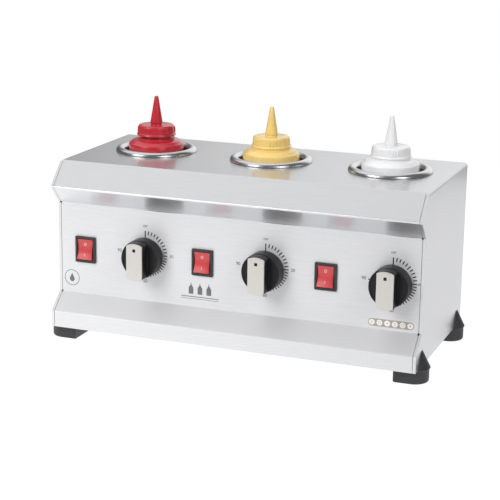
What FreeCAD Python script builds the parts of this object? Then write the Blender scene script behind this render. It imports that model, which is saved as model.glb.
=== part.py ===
"""Three-well heated sauce dispenser: a folded stainless case with three heated wells,
each with its own squeeze bottle, switch and thermostat knob. Millimetres, +X along the
length, front face towards -Y, +Z up, origin on the counter under the centre of the case."""
import FreeCAD, Part
import math
import os
from FreeCAD import Vector

os.makedirs("parts", exist_ok=True)

# ---- driving dimensions: case -------------------------------------------------------
BODY_LENGTH = 440.0
BODY_DEPTH = 210.0
BODY_HEIGHT = 194.0
FOOT_HEIGHT = 16.0
SHEET = 1.0
BEND = 2.0                      # outside radius of a bend
SIDE_BEND = 3.5                 # outside radius where the top folds down to the sides
TOP_FRONT_Y = -76.0
NOSE_Y, NOSE_Z = -102.7, 166.5
PANEL_Y = -83.3
PANEL_TOP, PANEL_BOTTOM = 145.4, 38.0
BASE_TOP = 19.0
SEAM_INSET = 3.6                # front seam, measured in from each end
SEAM_GAP = 0.5
RELIEF_RADIUS = 1.3             # corner relief holes of the seams
BACK_INSET = 12.0               # back panel, in from the case's rear edge
BACK_LIP = 12.0                 # flanges that the back panel is screwed to
LIP_INSET = 6.0                 # side flanges, in from the case's edges
TOP_LIP_INSET = 20.0
PAST = 10.0                     # how far a cutting solid runs past the sheet

# ---- driving dimensions: modules ----------------------------------------------------
MODULES = {"left": -147.0, "middle": 0.0, "right": 147.0}
WELLS = {"left": -142.0, "middle": 4.6, "right": 149.0}
WELL_Y = 22.4
SWITCH_SHIFT = -37.9            # switch and knob, from the module's centre
KNOB_SHIFT = 37.9
SWITCH_Z = 91.4
KNOB_Z = 91.2
FIT_GAP = 0.3                   # between pieces that move past each other

# ---- driving dimensions: well, heater, bottle ---------------------------------------
WELL_RADIUS = 38.0              # inside
WELL_FLOOR = 20.0               # inside floor, above the case's lower edge
COLLAR_TUBE = 5.25              # radius of the rolled collar's section
FLOOR_BEND = 6.0
HEATER_LOW, HEATER_HIGH = 42.0, 104.0
HEATER_THICKNESS = 3.0
CLIP_SHEET, CLIP_HEIGHT, CLIP_FLANGE = 1.2, 9.0, 11.0
CLIP_NOTCHES, NOTCH_RADIUS = 6, 5.0
BOTTLE_RADIUS = 33.0
BOTTLE_WALL = 1.2
BOTTLE_FOOT = 4.0               # rounding of the bottle's foot
BODY_TOP = 180.5                # where the bottle's shoulder starts
SHOULDER_LOW = (30.6, 184.6)    # ends of the shoulder's cone, (radius, height)
SHOULDER_HIGH = (24.2, 188.4)
RING_RADIUS = 22.4              # ring round the foot of the neck
RING_FOOT, NECK_FOOT = 188.9, 189.9
NECK_RADIUS = 18.2
NECK_TOP = 199.0
CAP_FOOT = 190.2
CAP_TOP = 202.9
CAP_RAISED = {"left": 2.6, "middle": 0.0, "right": 0.0}     # caps not screwed fully down
CAP_RADIUS = 21.6
CAP_FLANGE = 23.0
CAP_BORE = 19.7
CAP_WALL, CAP_ROUND = 1.8, 1.8
SEAL_RADIUS = 19.2
NOZZLE_FOOT = 204.8
NOZZLE_TOP = 236.8
NOZZLE_RADIUS = 7.5
NOZZLE_TIP = 2.15
NOZZLE_HOLE = 1.1

# ---- driving dimensions: knob and switch --------------------------------------------
SKIRT_RADIUS = 22.5
SKIRT_GAP = 1.2
SKIRT_FRONT = 18.5              # skirt's front face, out from the panel
SKIRT_ROUND = 1.7
SKIRT_WALL = 2.2
HOLLOW_DEPTH = 12.5             # hollow in the skirt's back, round the boss
BOSS_RADIUS = 6.5
GRIP_FRONT = 30.4               # grip bar's front, out from the panel
GRIP_WIDTH = 20.0
GRIP_RADIUS = 21.8
FACE_THICKNESS = 1.2
MARK_SIZE = 3.6
SHAFT_RADIUS = 3.0
SHAFT_FLAT = 1.6                # flat, out from the shaft's axis
BEZEL_WIDTH, BEZEL_HEIGHT = 25.8, 31.3
BEZEL_DEPTH = 2.5
BEZEL_CORNER, BEZEL_ROUND = 1.2, 0.7
APERTURE_WIDTH, APERTURE_HEIGHT = 19.8, 25.7
HOUSING_WIDTH, HOUSING_HEIGHT = 22.0, 30.0
ROCKER_WIDTH = 19.2
ROCKER_TILT = 8.0               # each way from the middle
ROCKER_PIVOT_Y = -83.2
ROCKER_HALF = 11.7              # half the rocker's height
ROCKER_REACH = 4.3              # its ends, out from the pivot
ROCKER_DISH = 2.0               # its hollow middle, out from the pivot
ROCKER_DEPTH = 5.0              # its back, in from the pivot
PIVOT_RADIUS = 1.2
PIVOT_REACH = 0.9               # stub pivot, out from each side of the rocker
SWITCH_DEPTH = 23.0             # behind the panel
CAVITY_DEPTH = 9.8
BLADE_LENGTH, BLADE_WIDTH, BLADE_THICKNESS = 8.0, 6.3, 0.8
BLADE_RISE = 9.0                # outer blades, up and down from the middle one
LAMP_RADIUS, LAMP_LENGTH = 1.2, 8.0

# ---- driving dimensions: thermostat and its sensing bulb ----------------------------
THERMOSTAT_WIDTH, THERMOSTAT_HEIGHT, THERMOSTAT_DEPTH = 34.0, 42.0, 24.0
THERMOSTAT_PLATE_WIDTH, THERMOSTAT_PLATE_HEIGHT = 20.0, 38.0
THERMOSTAT_PLATE = 3.0          # thickness of the fixing plate
THERMOSTAT_BLADE_X = 10.0
THERMOSTAT_BLADE_DROP = 14.0    # blades, down from the shaft's axis
THERMOSTAT_BLADE_LENGTH = 7.0
SHAFT_REACH = 17.0              # out from the panel's face, inside the knob
SHAFT_TAIL = 20.0               # in from the panel's back
SHAFT_FIT = 0.05                # running clearance round the shaft
MARK_LOW = 12.0                 # lower edge of the pointer mark, up from the knob's axis
BULB_RADIUS = 3.0
BULB_LOW, BULB_HIGH = 118.0, 176.0
BULB_TURN = -62.0               # place round the pot, from +X
CAPILLARY_RADIUS = 0.8

# ---- driving dimensions: heater clamp -----------------------------------------------
LUG_GAP = 4.0
LUG_THICKNESS = 1.2
LUG_REACH = 15.0                # out from the pot
LUG_Z = [58.0, 88.0]            # clamp screw heights above the case's lower edge
CLAMP_Y = 9.5                   # clamp screws, out from the pot
HEATER_BLOCK_WIDTH, HEATER_BLOCK_REACH, HEATER_BLOCK_HEIGHT = 20.0, 6.0, 14.0
HEATER_BLOCK_RISE = 20.0        # up from the band's lower edge

# ---- driving dimensions: screws, feet, gland ----------------------------------------
SCREW_RADIUS = 2.0
HEAD_RADIUS, HEAD_HEIGHT, HEAD_ROUND = 3.6, 2.0, 0.9
DRIVE_LENGTH, DRIVE_WIDTH, DRIVE_DEPTH = 3.6, 0.8, 1.2
NUT_FLATS, NUT_HEIGHT = 7.0, 3.0
SCREW_SPACING = 28.0            # thermostat fixing screws
BACK_SCREW_HEIGHTS = [20.0, 97.0, 174.0]
BACK_SCREW_TOP_X = 73.5
FOOT_INNER_X = 193.0
FOOT_CENTRE_X = 212.0
FOOT_RADIUS = 17.0
FOOT_LIP = 18.2
FOOT_LIP_HEIGHT = 1.6
FOOT_RIM = 2.2                  # rounding of the lower edge
SPUR_HEIGHT = 18.5
SPUR_TOP_RADIUS = 8.9
FOOT_SCREW_X = 204.0
FOOT_SCREW_LENGTH = 18.0
COUNTERBORE_RADIUS, COUNTERBORE_DEPTH = 5.0, 6.0
FOOT_YS = {"front": -80.0, "rear": 85.0}
GLAND_X, GLAND_Z = 172.0, 38.0
GLAND_RADIUS = 8.0
GLAND_BORE = 4.5
GLAND_FLATS, GLAND_FLANGE = 19.0, 5.0
GLAND_THREAD = 13.0             # length inside the case
DOME_RADIUS, DOME_ROUND = 8.8, 3.0
LOCKNUT_FLATS, LOCKNUT_HEIGHT = 22.0, 4.0

# ---- driving dimensions: vents ------------------------------------------------------
VENT_PITCH = 11.0
VENT_WIDTH, VENT_HEIGHT, VENT_Z = 4.0, 44.0, 130.0
BACK_VENTS = 9                  # behind each well
BASE_VENTS, BASE_VENT_LENGTH = 7, 36.0

# ---- driving dimensions: wiring -----------------------------------------------------
WIRE_RADIUS = 1.1
WIRE_RISE = 6.0                 # floor run of the wires, above the base plate
EARTH_X, EARTH_Y = 48.0, 80.0
STUD_RADIUS = 2.5
BLOCK_X, BLOCK_Y = 76.0, 78.0
BLOCK_HALF_DEPTH, BLOCK_HEIGHT = 8.0, 14.0
BLOCK_POLES = 5
POLE_PITCH = 8.0
EARTH_POLE, LIVE_POLE = 0, 3
NEUTRAL_POLES = {"left": 1, "middle": 2, "right": 4}
NEUTRAL_BENDS = {"left": 45.0, "middle": 25.0, "right": 30.0}
LIVE_BEND = 30.0

# ---- worked-out places --------------------------------------------------------------
HALF = BODY_LENGTH / 2
FRONT = -BODY_DEPTH / 2
REAR = BODY_DEPTH / 2
FLOOR = FOOT_HEIGHT             # height of the case's lower edge
PLATE = FLOOR + BODY_HEIGHT     # height of the top plate
PANEL_BACK = PANEL_Y + SHEET
BACK_Y = REAR - BACK_INSET
POT_RADIUS = WELL_RADIUS + SHEET
EXTENT_Y = -PANEL_Y + GRIP_FRONT + FACE_THICKNESS
HEATER_RADIUS = POT_RADIUS + HEATER_THICKNESS
HEATER_BLOCK_Y = WELL_Y - HEATER_RADIUS - HEATER_BLOCK_REACH
HEATER_BLOCK_LEVEL = FLOOR + HEATER_LOW + HEATER_BLOCK_RISE + HEATER_BLOCK_HEIGHT / 2
SHAFT_END = PANEL_Y - SHAFT_REACH
LAMP_FLOOR = PANEL_Y + CAVITY_DEPTH
SWITCH_BACK = PANEL_Y + SWITCH_DEPTH
BLADE_LEVEL = FLOOR + SWITCH_Z - BLADE_RISE
WIRE_LEVEL = FLOOR + SHEET + WIRE_RISE
X, Y, Z = Vector(1, 0, 0), Vector(0, 1, 0), Vector(0, 0, 1)


def box(x0, x1, y0, y1, z0, z1):
    return Part.makeBox(x1 - x0, y1 - y0, z1 - z0, Vector(x0, y0, z0))


def rod(x, y, z, radius, length, axis=Z):
    return Part.makeCylinder(radius, length, Vector(x, y, z), axis)


def tube(x, y, z, outer, inner, length, axis=Z):
    return rod(x, y, z, outer, length, axis).cut(rod(x, y, z, inner, length, axis))


def fuse(shapes):
    first, rest = shapes[0], shapes[1:]
    return first.multiFuse(rest).removeSplitter() if rest else first


def export(name, shape):
    shape.exportStep("parts/%s.step" % name)
    print("%-24s solids %2d  volume %10.1f  valid %s"
          % (name, len(shape.Solids), shape.Volume, shape.isValid()))


def group(name, shapes):
    export(name, Part.makeCompound(shapes))


def rounded_face(points, radii, to_vector):
    """Closed outline through the points, each corner rounded by a tangent arc."""
    corners = []
    for i, (u, v) in enumerate(points):
        here = Vector(u, v, 0)
        back = Vector(*points[i - 1], 0) - here
        ahead = Vector(*points[(i + 1) % len(points)], 0) - here
        if radii[i] == 0:
            corners.append((here, here, here))
            continue
        half = back.getAngle(ahead) / 2
        back.normalize()
        ahead.normalize()
        reach = radii[i] / math.tan(half)
        middle = (back + ahead).normalize()
        apex = here + middle * (radii[i] / math.sin(half) - radii[i])
        corners.append((here + back * reach, apex, here + ahead * reach))
    edges = []
    for i, (start, apex, end) in enumerate(corners):
        if start != end:
            edges.append(Part.Arc(to_vector(start), to_vector(apex), to_vector(end)).toShape())
        following = corners[(i + 1) % len(corners)][0]
        edges.append(Part.LineSegment(to_vector(end), to_vector(following)).toShape())
    return Part.Face(Part.Wire(edges))


def lathe(segments, x, y, z):
    """Spins an outline of lines (two points) and arcs (three points) about +Z."""
    edges = []
    for segment in segments:
        places = [Vector(r, 0, h) for r, h in segment]
        curve = Part.Arc(*places) if len(places) == 3 else Part.LineSegment(*places)
        edges.append(curve.toShape())
    solid = Part.Face(Part.Wire(edges)).revolve(Vector(), Z, 360)
    solid.translate(Vector(x, y, z))
    return solid


def inward(points, distance):
    """Moves each side of a closed outline in by the distance."""
    moved = []
    for i, here in enumerate(points):
        before, after = points[i - 1], points[(i + 1) % len(points)]
        normals = []
        for a, b in ((before, here), (here, after)):
            length = math.hypot(b[0] - a[0], b[1] - a[1])
            normals.append(((a[1] - b[1]) / length, (b[0] - a[0]) / length))
        (ax, ay), (bx, by) = normals
        scale = distance / (1 + ax * bx + ay * by)
        moved.append((here[0] + (ax + bx) * scale, here[1] + (ay + by) * scale))
    return moved


def slot(x, y, z, width, height, depth):
    """Upright round-ended slot through a sheet that faces Y, centred on x and z."""
    run = height - width
    middle = box(x - width / 2, x + width / 2, y, y + depth, z - run / 2, z + run / 2)
    ends = [rod(x, y, z + s * run / 2, width / 2, depth, Y) for s in (-1, 1)]
    return middle.fuse(ends)


def wire(points, radius):
    """Round wire along straight runs joined by tangent arcs."""
    places = [Vector(*p) for p in points]
    corners = [(places[0], None, places[0])]
    for before, here, after in zip(places, places[1:], places[2:]):
        back, ahead = before - here, after - here
        half = back.getAngle(ahead) / 2
        reach = 0.45 * min(back.Length, ahead.Length)
        bend = reach * math.tan(half)
        back.normalize()
        ahead.normalize()
        apex = here + (back + ahead).normalize() * (bend / math.sin(half) - bend)
        corners.append((here + back * reach, apex, here + ahead * reach))
    corners.append((places[-1], None, places[-1]))
    edges = []
    for (start, apex, end), following in zip(corners, corners[1:]):
        if apex is not None:
            edges.append(Part.Arc(start, apex, end).toShape())
        edges.append(Part.LineSegment(end, following[0]).toShape())
    path = Part.Wire(edges)
    section = Part.Wire(Part.makeCircle(radius, places[0], places[1] - places[0]))
    return path.makePipeShell([section], True, False)


# ---- folded case --------------------------------------------------------------------
def case_outline():
    """Side view of the case, counter-clockwise, as (y, z)."""
    outline = [(REAR, 0), (REAR, BODY_HEIGHT), (TOP_FRONT_Y, BODY_HEIGHT), (NOSE_Y, NOSE_Z),
               (PANEL_Y, PANEL_TOP), (PANEL_Y, PANEL_BOTTOM), (FRONT, BASE_TOP), (FRONT, 0)]
    return [(y, z + FLOOR) for y, z in outline]


def case_block(points, radii, half_length, top, corner):
    """The side outline drawn out along X, its top long edges rounded to the side bend."""
    face = rounded_face(points, radii, lambda p: Vector(-half_length, p.x, p.y))
    block = face.extrude(X * (2 * half_length))
    low = FLOOR - 10
    arch = [(-half_length, low), (half_length, low), (half_length, top), (-half_length, top)]
    arch_face = rounded_face(arch, [0, 0, corner, corner], lambda p: Vector(p.x, -200, p.y))
    return block.common(arch_face.extrude(Y * 400))


def make_body_shell():
    outer_points = case_outline()
    inner_points = inward(outer_points, SHEET)
    inner_points[0] = (REAR + PAST, FLOOR - PAST)
    inner_points[1] = (REAR + PAST, PLATE - SHEET)
    inner_points[-1] = (FRONT + SHEET, FLOOR - PAST)
    folds = [0, 0, BEND, BEND, BEND, BEND, BEND, 0]
    folds_inside = [0, 0, BEND - SHEET, BEND - SHEET, BEND + SHEET, BEND + SHEET, BEND - SHEET, 0]
    shell = case_block(outer_points, folds, HALF, PLATE, SIDE_BEND)
    shell = shell.cut(case_block(inner_points, folds_inside, HALF - SHEET, PLATE - SHEET,
                                 SIDE_BEND - SHEET))
    lip_y = BACK_Y - 2 * SHEET
    inner = HALF - SHEET
    low, high = FLOOR + LIP_INSET, PLATE - LIP_INSET
    lips = [box(inner - BACK_LIP, inner, lip_y, lip_y + SHEET, low, high),
            box(-inner, BACK_LIP - inner, lip_y, lip_y + SHEET, low, high),
            box(TOP_LIP_INSET - inner, inner - TOP_LIP_INSET, lip_y, lip_y + SHEET,
                PLATE - BACK_LIP, PLATE - SHEET)]
    shell = fuse([shell] + lips)
    cuts = []
    for side in (-1, 1):
        seam = side * (HALF - SEAM_INSET)
        cuts.append(box(seam - SEAM_GAP / 2, seam + SEAM_GAP / 2, FRONT - PAST,
                        TOP_FRONT_Y - SHEET, FLOOR - PAST, PLATE + PAST))
        for height in (PANEL_TOP, PANEL_BOTTOM):
            cuts.append(through_panel(seam, FLOOR + height, RELIEF_RADIUS))
    for name, centre in MODULES.items():
        cuts.append(rod(WELLS[name], WELL_Y, PLATE - PAST, POT_RADIUS, 2 * PAST))
        knob_x, switch_x = centre + KNOB_SHIFT, centre + SWITCH_SHIFT
        cuts.append(through_panel(knob_x, FLOOR + KNOB_Z, SHAFT_RADIUS + 2))
        for height in thermostat_screw_heights():
            cuts.append(through_panel(knob_x, height, SCREW_RADIUS))
        cuts.append(box(switch_x - HOUSING_WIDTH / 2, switch_x + HOUSING_WIDTH / 2,
                        PANEL_Y - 3, PANEL_Y + 3,
                        FLOOR + SWITCH_Z - HOUSING_HEIGHT / 2,
                        FLOOR + SWITCH_Z + HOUSING_HEIGHT / 2))
    for x, z in back_screw_places():
        cuts.append(rod(x, BACK_Y - 5, z, SCREW_RADIUS, PAST, Y))
    return shell.cut(cuts)


def through_panel(x, z, radius):
    """Short rod that pierces the control panel."""
    return rod(x, PANEL_Y - 3, z, radius, 6, Y)


def thermostat_screw_heights():
    return [FLOOR + KNOB_Z + s * SCREW_SPACING / 2 for s in (-1, 1)]


def back_screw_places():
    """Back panel screws, as (x, z): three up each side and two along the top."""
    side_x = HALF - SHEET - BACK_LIP / 2
    places = [(s * side_x, FLOOR + z) for s in (-1, 1) for z in BACK_SCREW_HEIGHTS]
    return places + [(s * BACK_SCREW_TOP_X, PLATE - SHEET / 2 - BACK_LIP / 2) for s in (-1, 1)]


# ---- sheets, screws, feet -----------------------------------------------------------
def make_back_panel():
    half = HALF - SHEET - FIT_GAP
    low, high = FLOOR + 2 * SHEET, PLATE - SHEET - FIT_GAP
    outline = [(-half, low), (half, low), (half, high), (-half, high)]
    panel = rounded_face(outline, [0, 0, SIDE_BEND, SIDE_BEND],
                         lambda p: Vector(p.x, BACK_Y - SHEET, p.y)).extrude(Y * SHEET)
    cuts = [rod(x, BACK_Y - 5, z, SCREW_RADIUS, PAST, Y) for x, z in back_screw_places()]
    cuts.append(rod(GLAND_X, BACK_Y - 5, FLOOR + GLAND_Z, GLAND_RADIUS, PAST, Y))
    for centre in MODULES.values():
        for step in range(BACK_VENTS):
            x = centre + (step - (BACK_VENTS - 1) / 2) * VENT_PITCH
            cuts.append(slot(x, BACK_Y - 3, FLOOR + VENT_Z, VENT_WIDTH, VENT_HEIGHT, 6))
    return panel.cut(cuts)


def make_base_plate():
    half = HALF - SHEET - FIT_GAP
    plate = box(-half, half, FRONT + SHEET + FIT_GAP, REAR - 1, FLOOR, FLOOR + SHEET)
    cuts = [rod(x, y, FLOOR - 3, SCREW_RADIUS, 6) for x, y in foot_screw_places()]
    reach = BASE_VENT_LENGTH / 2
    for centre in WELLS.values():
        for step in range(BASE_VENTS):
            x = centre + (step - (BASE_VENTS - 1) / 2) * VENT_PITCH
            cuts.append(box(x - VENT_WIDTH / 2, x + VENT_WIDTH / 2, WELL_Y - reach,
                            WELL_Y + reach, FLOOR - 1, FLOOR + 2))
    cuts.append(rod(EARTH_X, EARTH_Y, FLOOR - 3, STUD_RADIUS, 6))
    return plate.cut(cuts)


def foot_screw_places():
    return [(s * FOOT_SCREW_X, y) for s in (-1, 1) for y in FOOT_YS.values()]


def make_foot(side, y):
    """Half-round pad under a corner, with a half-cone spur up the outside of the case."""
    pad = box(FOOT_INNER_X, FOOT_CENTRE_X, y - FOOT_RADIUS, y + FOOT_RADIUS, 0, FOOT_HEIGHT)
    pad = fuse([pad, rod(FOOT_CENTRE_X, y, 0, FOOT_RADIUS, FOOT_HEIGHT)])
    rim = [edge for edge in pad.Edges if edge.BoundBox.ZMax < 0.01]
    pad = pad.makeFillet(FOOT_RIM, rim)
    lip = Part.makeCone(FOOT_RADIUS, FOOT_LIP, FOOT_LIP_HEIGHT,
                        Vector(FOOT_CENTRE_X, y, FLOOR - FOOT_LIP_HEIGHT))
    spur = Part.makeCone(FOOT_LIP, SPUR_TOP_RADIUS, SPUR_HEIGHT, Vector(FOOT_CENTRE_X, y, FLOOR))
    outside = box(HALF, HALF + 30, y - 30, y + 30, FLOOR - 5, FLOOR + 30)
    foot = fuse([pad, lip.common(outside), spur.common(outside)])
    foot = foot.cut([rod(FOOT_SCREW_X, y, -1, COUNTERBORE_RADIUS, COUNTERBORE_DEPTH + 1),
                     rod(FOOT_SCREW_X, y, -1, SCREW_RADIUS, FOOT_HEIGHT + 2)])
    return foot if side > 0 else foot.mirror(Vector(), X)


def pan_screw(x, y, z, axis, length):
    """Cross-head screw whose head bears at the place, its shank running along the axis."""
    place = Vector(x, y, z)
    crown = place - axis * HEAD_HEIGHT
    shank = Part.makeCylinder(SCREW_RADIUS, length, place, axis)
    cap = Part.makeCylinder(HEAD_RADIUS, HEAD_HEIGHT, crown, axis)
    rim = [edge for edge in cap.Edges if edge.Closed
           and (edge.CenterOfMass - crown).Length < 0.01]
    cap = cap.makeFillet(HEAD_ROUND, rim)
    start = crown - axis
    across = X if abs(axis.x) < 0.5 else Y
    other = axis.cross(across)
    drive = []
    for direction in (across, other):
        side = axis.cross(direction)
        corner = start - direction * (DRIVE_LENGTH / 2) - side * (DRIVE_WIDTH / 2)
        along, wide = direction * DRIVE_LENGTH, side * DRIVE_WIDTH
        blade = Part.Face(Part.makePolygon([corner, corner + along, corner + along + wide,
                                            corner + wide, corner]))
        drive.append(blade.extrude(axis * (DRIVE_DEPTH + 1)))
    return fuse([shank, cap]).cut(drive)


def hex_prism(x, y, z, across_flats, length, axis, bore):
    radius = across_flats / math.sqrt(3)
    place = Vector(x, y, z)
    side = X if abs(axis.x) < 0.5 else Y
    up = axis.cross(side)
    ring = [place + side * (radius * math.cos(math.radians(60 * i)))
            + up * (radius * math.sin(math.radians(60 * i))) for i in range(7)]
    prism = Part.Face(Part.makePolygon(ring)).extrude(axis * length)
    return prism.cut(Part.makeCylinder(bore, length, place, axis))


# ---- wells and heaters --------------------------------------------------------------
def make_well(x):
    """Spun pot whose rim rolls over into a half-round collar on the top plate."""
    centre = WELL_RADIUS + COLLAR_TUBE
    depth = WELL_FLOOR - BODY_HEIGHT
    thin = COLLAR_TUBE - SHEET
    inside = WELL_RADIUS - FLOOR_BEND
    slant = FLOOR_BEND * (1 - math.sqrt(0.5))
    outer_slant = (FLOOR_BEND + SHEET) * (1 - math.sqrt(0.5))
    segments = [
        ((centre + COLLAR_TUBE, 0), (centre, COLLAR_TUBE), (WELL_RADIUS, 0)),
        ((WELL_RADIUS, 0), (WELL_RADIUS, depth + FLOOR_BEND)),
        ((WELL_RADIUS, depth + FLOOR_BEND), (WELL_RADIUS - slant, depth + slant),
         (inside, depth)),
        ((inside, depth), (0, depth)),
        ((0, depth), (0, depth - SHEET)),
        ((0, depth - SHEET), (inside, depth - SHEET)),
        ((inside, depth - SHEET), (POT_RADIUS - outer_slant, depth - SHEET + outer_slant),
         (POT_RADIUS, depth + FLOOR_BEND)),
        ((POT_RADIUS, depth + FLOOR_BEND), (POT_RADIUS, 0)),
        ((POT_RADIUS, 0), (centre, thin), (centre + thin, 0)),
        ((centre + thin, 0), (centre + COLLAR_TUBE, 0))]
    return lathe(segments, x, WELL_Y, PLATE)


def make_well_clip(x):
    """Sprung ring that grips the pot under the top plate."""
    top = PLATE - SHEET
    rim = POT_RADIUS + CLIP_FLANGE
    sleeve = tube(x, WELL_Y, top - CLIP_HEIGHT, POT_RADIUS + CLIP_SHEET, POT_RADIUS, CLIP_HEIGHT)
    flange = tube(x, WELL_Y, top - CLIP_SHEET, rim, POT_RADIUS, CLIP_SHEET)
    notches = []
    for i in range(CLIP_NOTCHES):
        turn = 2 * math.pi * (i + 0.5) / CLIP_NOTCHES
        notches.append(rod(x + rim * math.cos(turn), WELL_Y + rim * math.sin(turn), top - 2,
                           NOTCH_RADIUS, 3))
    return fuse([sleeve, flange]).cut(notches)


def make_band_heater(x):
    """Heating band with two clamp lugs at the rear and a terminal block in front."""
    low, height = FLOOR + HEATER_LOW, HEATER_HIGH - HEATER_LOW
    band = tube(x, WELL_Y, low, HEATER_RADIUS, POT_RADIUS, height)
    rear = WELL_Y + POT_RADIUS
    inner, outer = LUG_GAP / 2, LUG_GAP / 2 + LUG_THICKNESS
    lugs = [box(x + a, x + b, rear + 0.6, rear + LUG_REACH, low + 6, low + height - 6)
            for a, b in ((-outer, -inner), (inner, outer))]
    gap = box(x - inner, x + inner, rear - 5, rear + 10, low - 1, low + height + 1)
    half_block = HEATER_BLOCK_WIDTH / 2
    block_low = low + HEATER_BLOCK_RISE
    block = box(x - half_block, x + half_block, HEATER_BLOCK_Y, WELL_Y - POT_RADIUS - 1,
                block_low, block_low + HEATER_BLOCK_HEIGHT)
    heater = fuse([band.cut(gap), block] + lugs)
    holes = [rod(x - PAST, rear + CLAMP_Y, FLOOR + z, SCREW_RADIUS, 2 * PAST, X) for z in LUG_Z]
    return heater.cut(holes)


# ---- bottle and cap -----------------------------------------------------------------
def bottle_base():
    return FLOOR + WELL_FLOOR + FIT_GAP


def make_bottle(x):
    wall = BOTTLE_WALL
    inner = BOTTLE_RADIUS - wall
    neck_in = NECK_RADIUS - wall
    foot = BOTTLE_FOOT
    low_r, low_h = SHOULDER_LOW
    high_r, high_h = SHOULDER_HIGH
    across, up = high_h - low_h, low_r - high_r
    side, drop = (wall * part / math.hypot(across, up) for part in (across, up))
    low_in, high_in = (low_r - side, low_h - drop), (high_r - side, high_h - drop)
    knee = (BOTTLE_RADIUS - 0.7, BODY_TOP + 2.5)
    knee_in = (inner - 0.5, BODY_TOP + 1.8)
    bead_low, bead_high = NECK_TOP - 5.6, NECK_TOP - 3.2
    bead = (NECK_RADIUS + 0.9, (bead_low + bead_high) / 2)
    segments = [
        ((0, 0), (BOTTLE_RADIUS - foot, 0)),
        ((BOTTLE_RADIUS - foot, 0), (BOTTLE_RADIUS - foot * 0.293, foot * 0.293),
         (BOTTLE_RADIUS, foot)),
        ((BOTTLE_RADIUS, foot), (BOTTLE_RADIUS, BODY_TOP)),
        ((BOTTLE_RADIUS, BODY_TOP), knee, SHOULDER_LOW),
        (SHOULDER_LOW, SHOULDER_HIGH),
        (SHOULDER_HIGH, (RING_RADIUS, RING_FOOT)),
        ((RING_RADIUS, RING_FOOT), (RING_RADIUS, NECK_FOOT)),
        ((RING_RADIUS, NECK_FOOT), (NECK_RADIUS, NECK_FOOT)),
        ((NECK_RADIUS, NECK_FOOT), (NECK_RADIUS, bead_low)),
        ((NECK_RADIUS, bead_low), bead, (NECK_RADIUS, bead_high)),
        ((NECK_RADIUS, bead_high), (NECK_RADIUS, NECK_TOP)),
        ((NECK_RADIUS, NECK_TOP), (neck_in, NECK_TOP)),
        ((neck_in, NECK_TOP), (neck_in, high_in[1] + 0.5)),
        ((neck_in, high_in[1] + 0.5), high_in),
        (high_in, low_in),
        (low_in, knee_in, (inner, BODY_TOP)),
        ((inner, BODY_TOP), (inner, foot)),
        ((inner, foot), (inner - 0.8, foot - 2.0), (inner - foot + 1.2, wall)),
        ((inner - foot + 1.2, wall), (0, wall)),
        ((0, wall), (0, 0))]
    return lathe(segments, x, WELL_Y, bottle_base())


def make_cap(x, raised):
    """Screw cap with a flared skirt and a tapered nozzle, open right through."""
    top_in = CAP_TOP - CAP_WALL
    flare, shoulder = CAP_FOOT + 2.2, CAP_FOOT + 3.0
    root = NOZZLE_RADIUS - 0.75
    bore = NOZZLE_RADIUS - 2.2
    slant = CAP_ROUND * (1 - math.sqrt(0.5))
    segments = [
        ((CAP_BORE, CAP_FOOT), (CAP_FLANGE, CAP_FOOT)),
        ((CAP_FLANGE, CAP_FOOT), (CAP_FLANGE, flare)),
        ((CAP_FLANGE, flare), (CAP_RADIUS + 0.5, shoulder)),
        ((CAP_RADIUS + 0.5, shoulder), (CAP_RADIUS, CAP_TOP - CAP_ROUND)),
        ((CAP_RADIUS, CAP_TOP - CAP_ROUND), (CAP_RADIUS - slant, CAP_TOP - slant),
         (CAP_RADIUS - CAP_ROUND, CAP_TOP)),
        ((CAP_RADIUS - CAP_ROUND, CAP_TOP), (root, CAP_TOP)),
        ((root, CAP_TOP), (root, NOZZLE_FOOT - 0.6)),
        ((root, NOZZLE_FOOT - 0.6), (NOZZLE_RADIUS, NOZZLE_FOOT)),
        ((NOZZLE_RADIUS, NOZZLE_FOOT), (NOZZLE_TIP, NOZZLE_TOP)),
        ((NOZZLE_TIP, NOZZLE_TOP), (NOZZLE_HOLE, NOZZLE_TOP)),
        ((NOZZLE_HOLE, NOZZLE_TOP), (bore, CAP_TOP)),
        ((bore, CAP_TOP), (bore, top_in)),
        ((bore, top_in), (CAP_BORE, top_in)),
        ((CAP_BORE, top_in), (CAP_BORE, CAP_FOOT))]
    return lathe(segments, x, WELL_Y, bottle_base() + raised)


def make_cap_seal(x, raised):
    """Soft ring that sits in the cap, over the neck's rim."""
    low = NECK_TOP + FIT_GAP
    high = CAP_TOP - CAP_WALL - FIT_GAP
    return tube(x, WELL_Y, bottle_base() + raised + low, SEAL_RADIUS, NOZZLE_RADIUS, high - low)


# ---- knob, thermostat, switch -------------------------------------------------------
def d_section(x, y, z, radius, flat, length):
    """Rod along Y with a flat on its upper side."""
    return rod(x, y, z, radius, length, Y).cut(
        box(x - 2 * radius, x + 2 * radius, y - 1, y + length + 1, z + flat, z + 2 * radius))


def knob_bar(x, z, width, radius, y0, y1):
    return rod(x, y0, z, radius, y1 - y0, Y).common(
        box(x - width / 2, x + width / 2, y0, y1, z - 2 * radius, z + 2 * radius))


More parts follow.
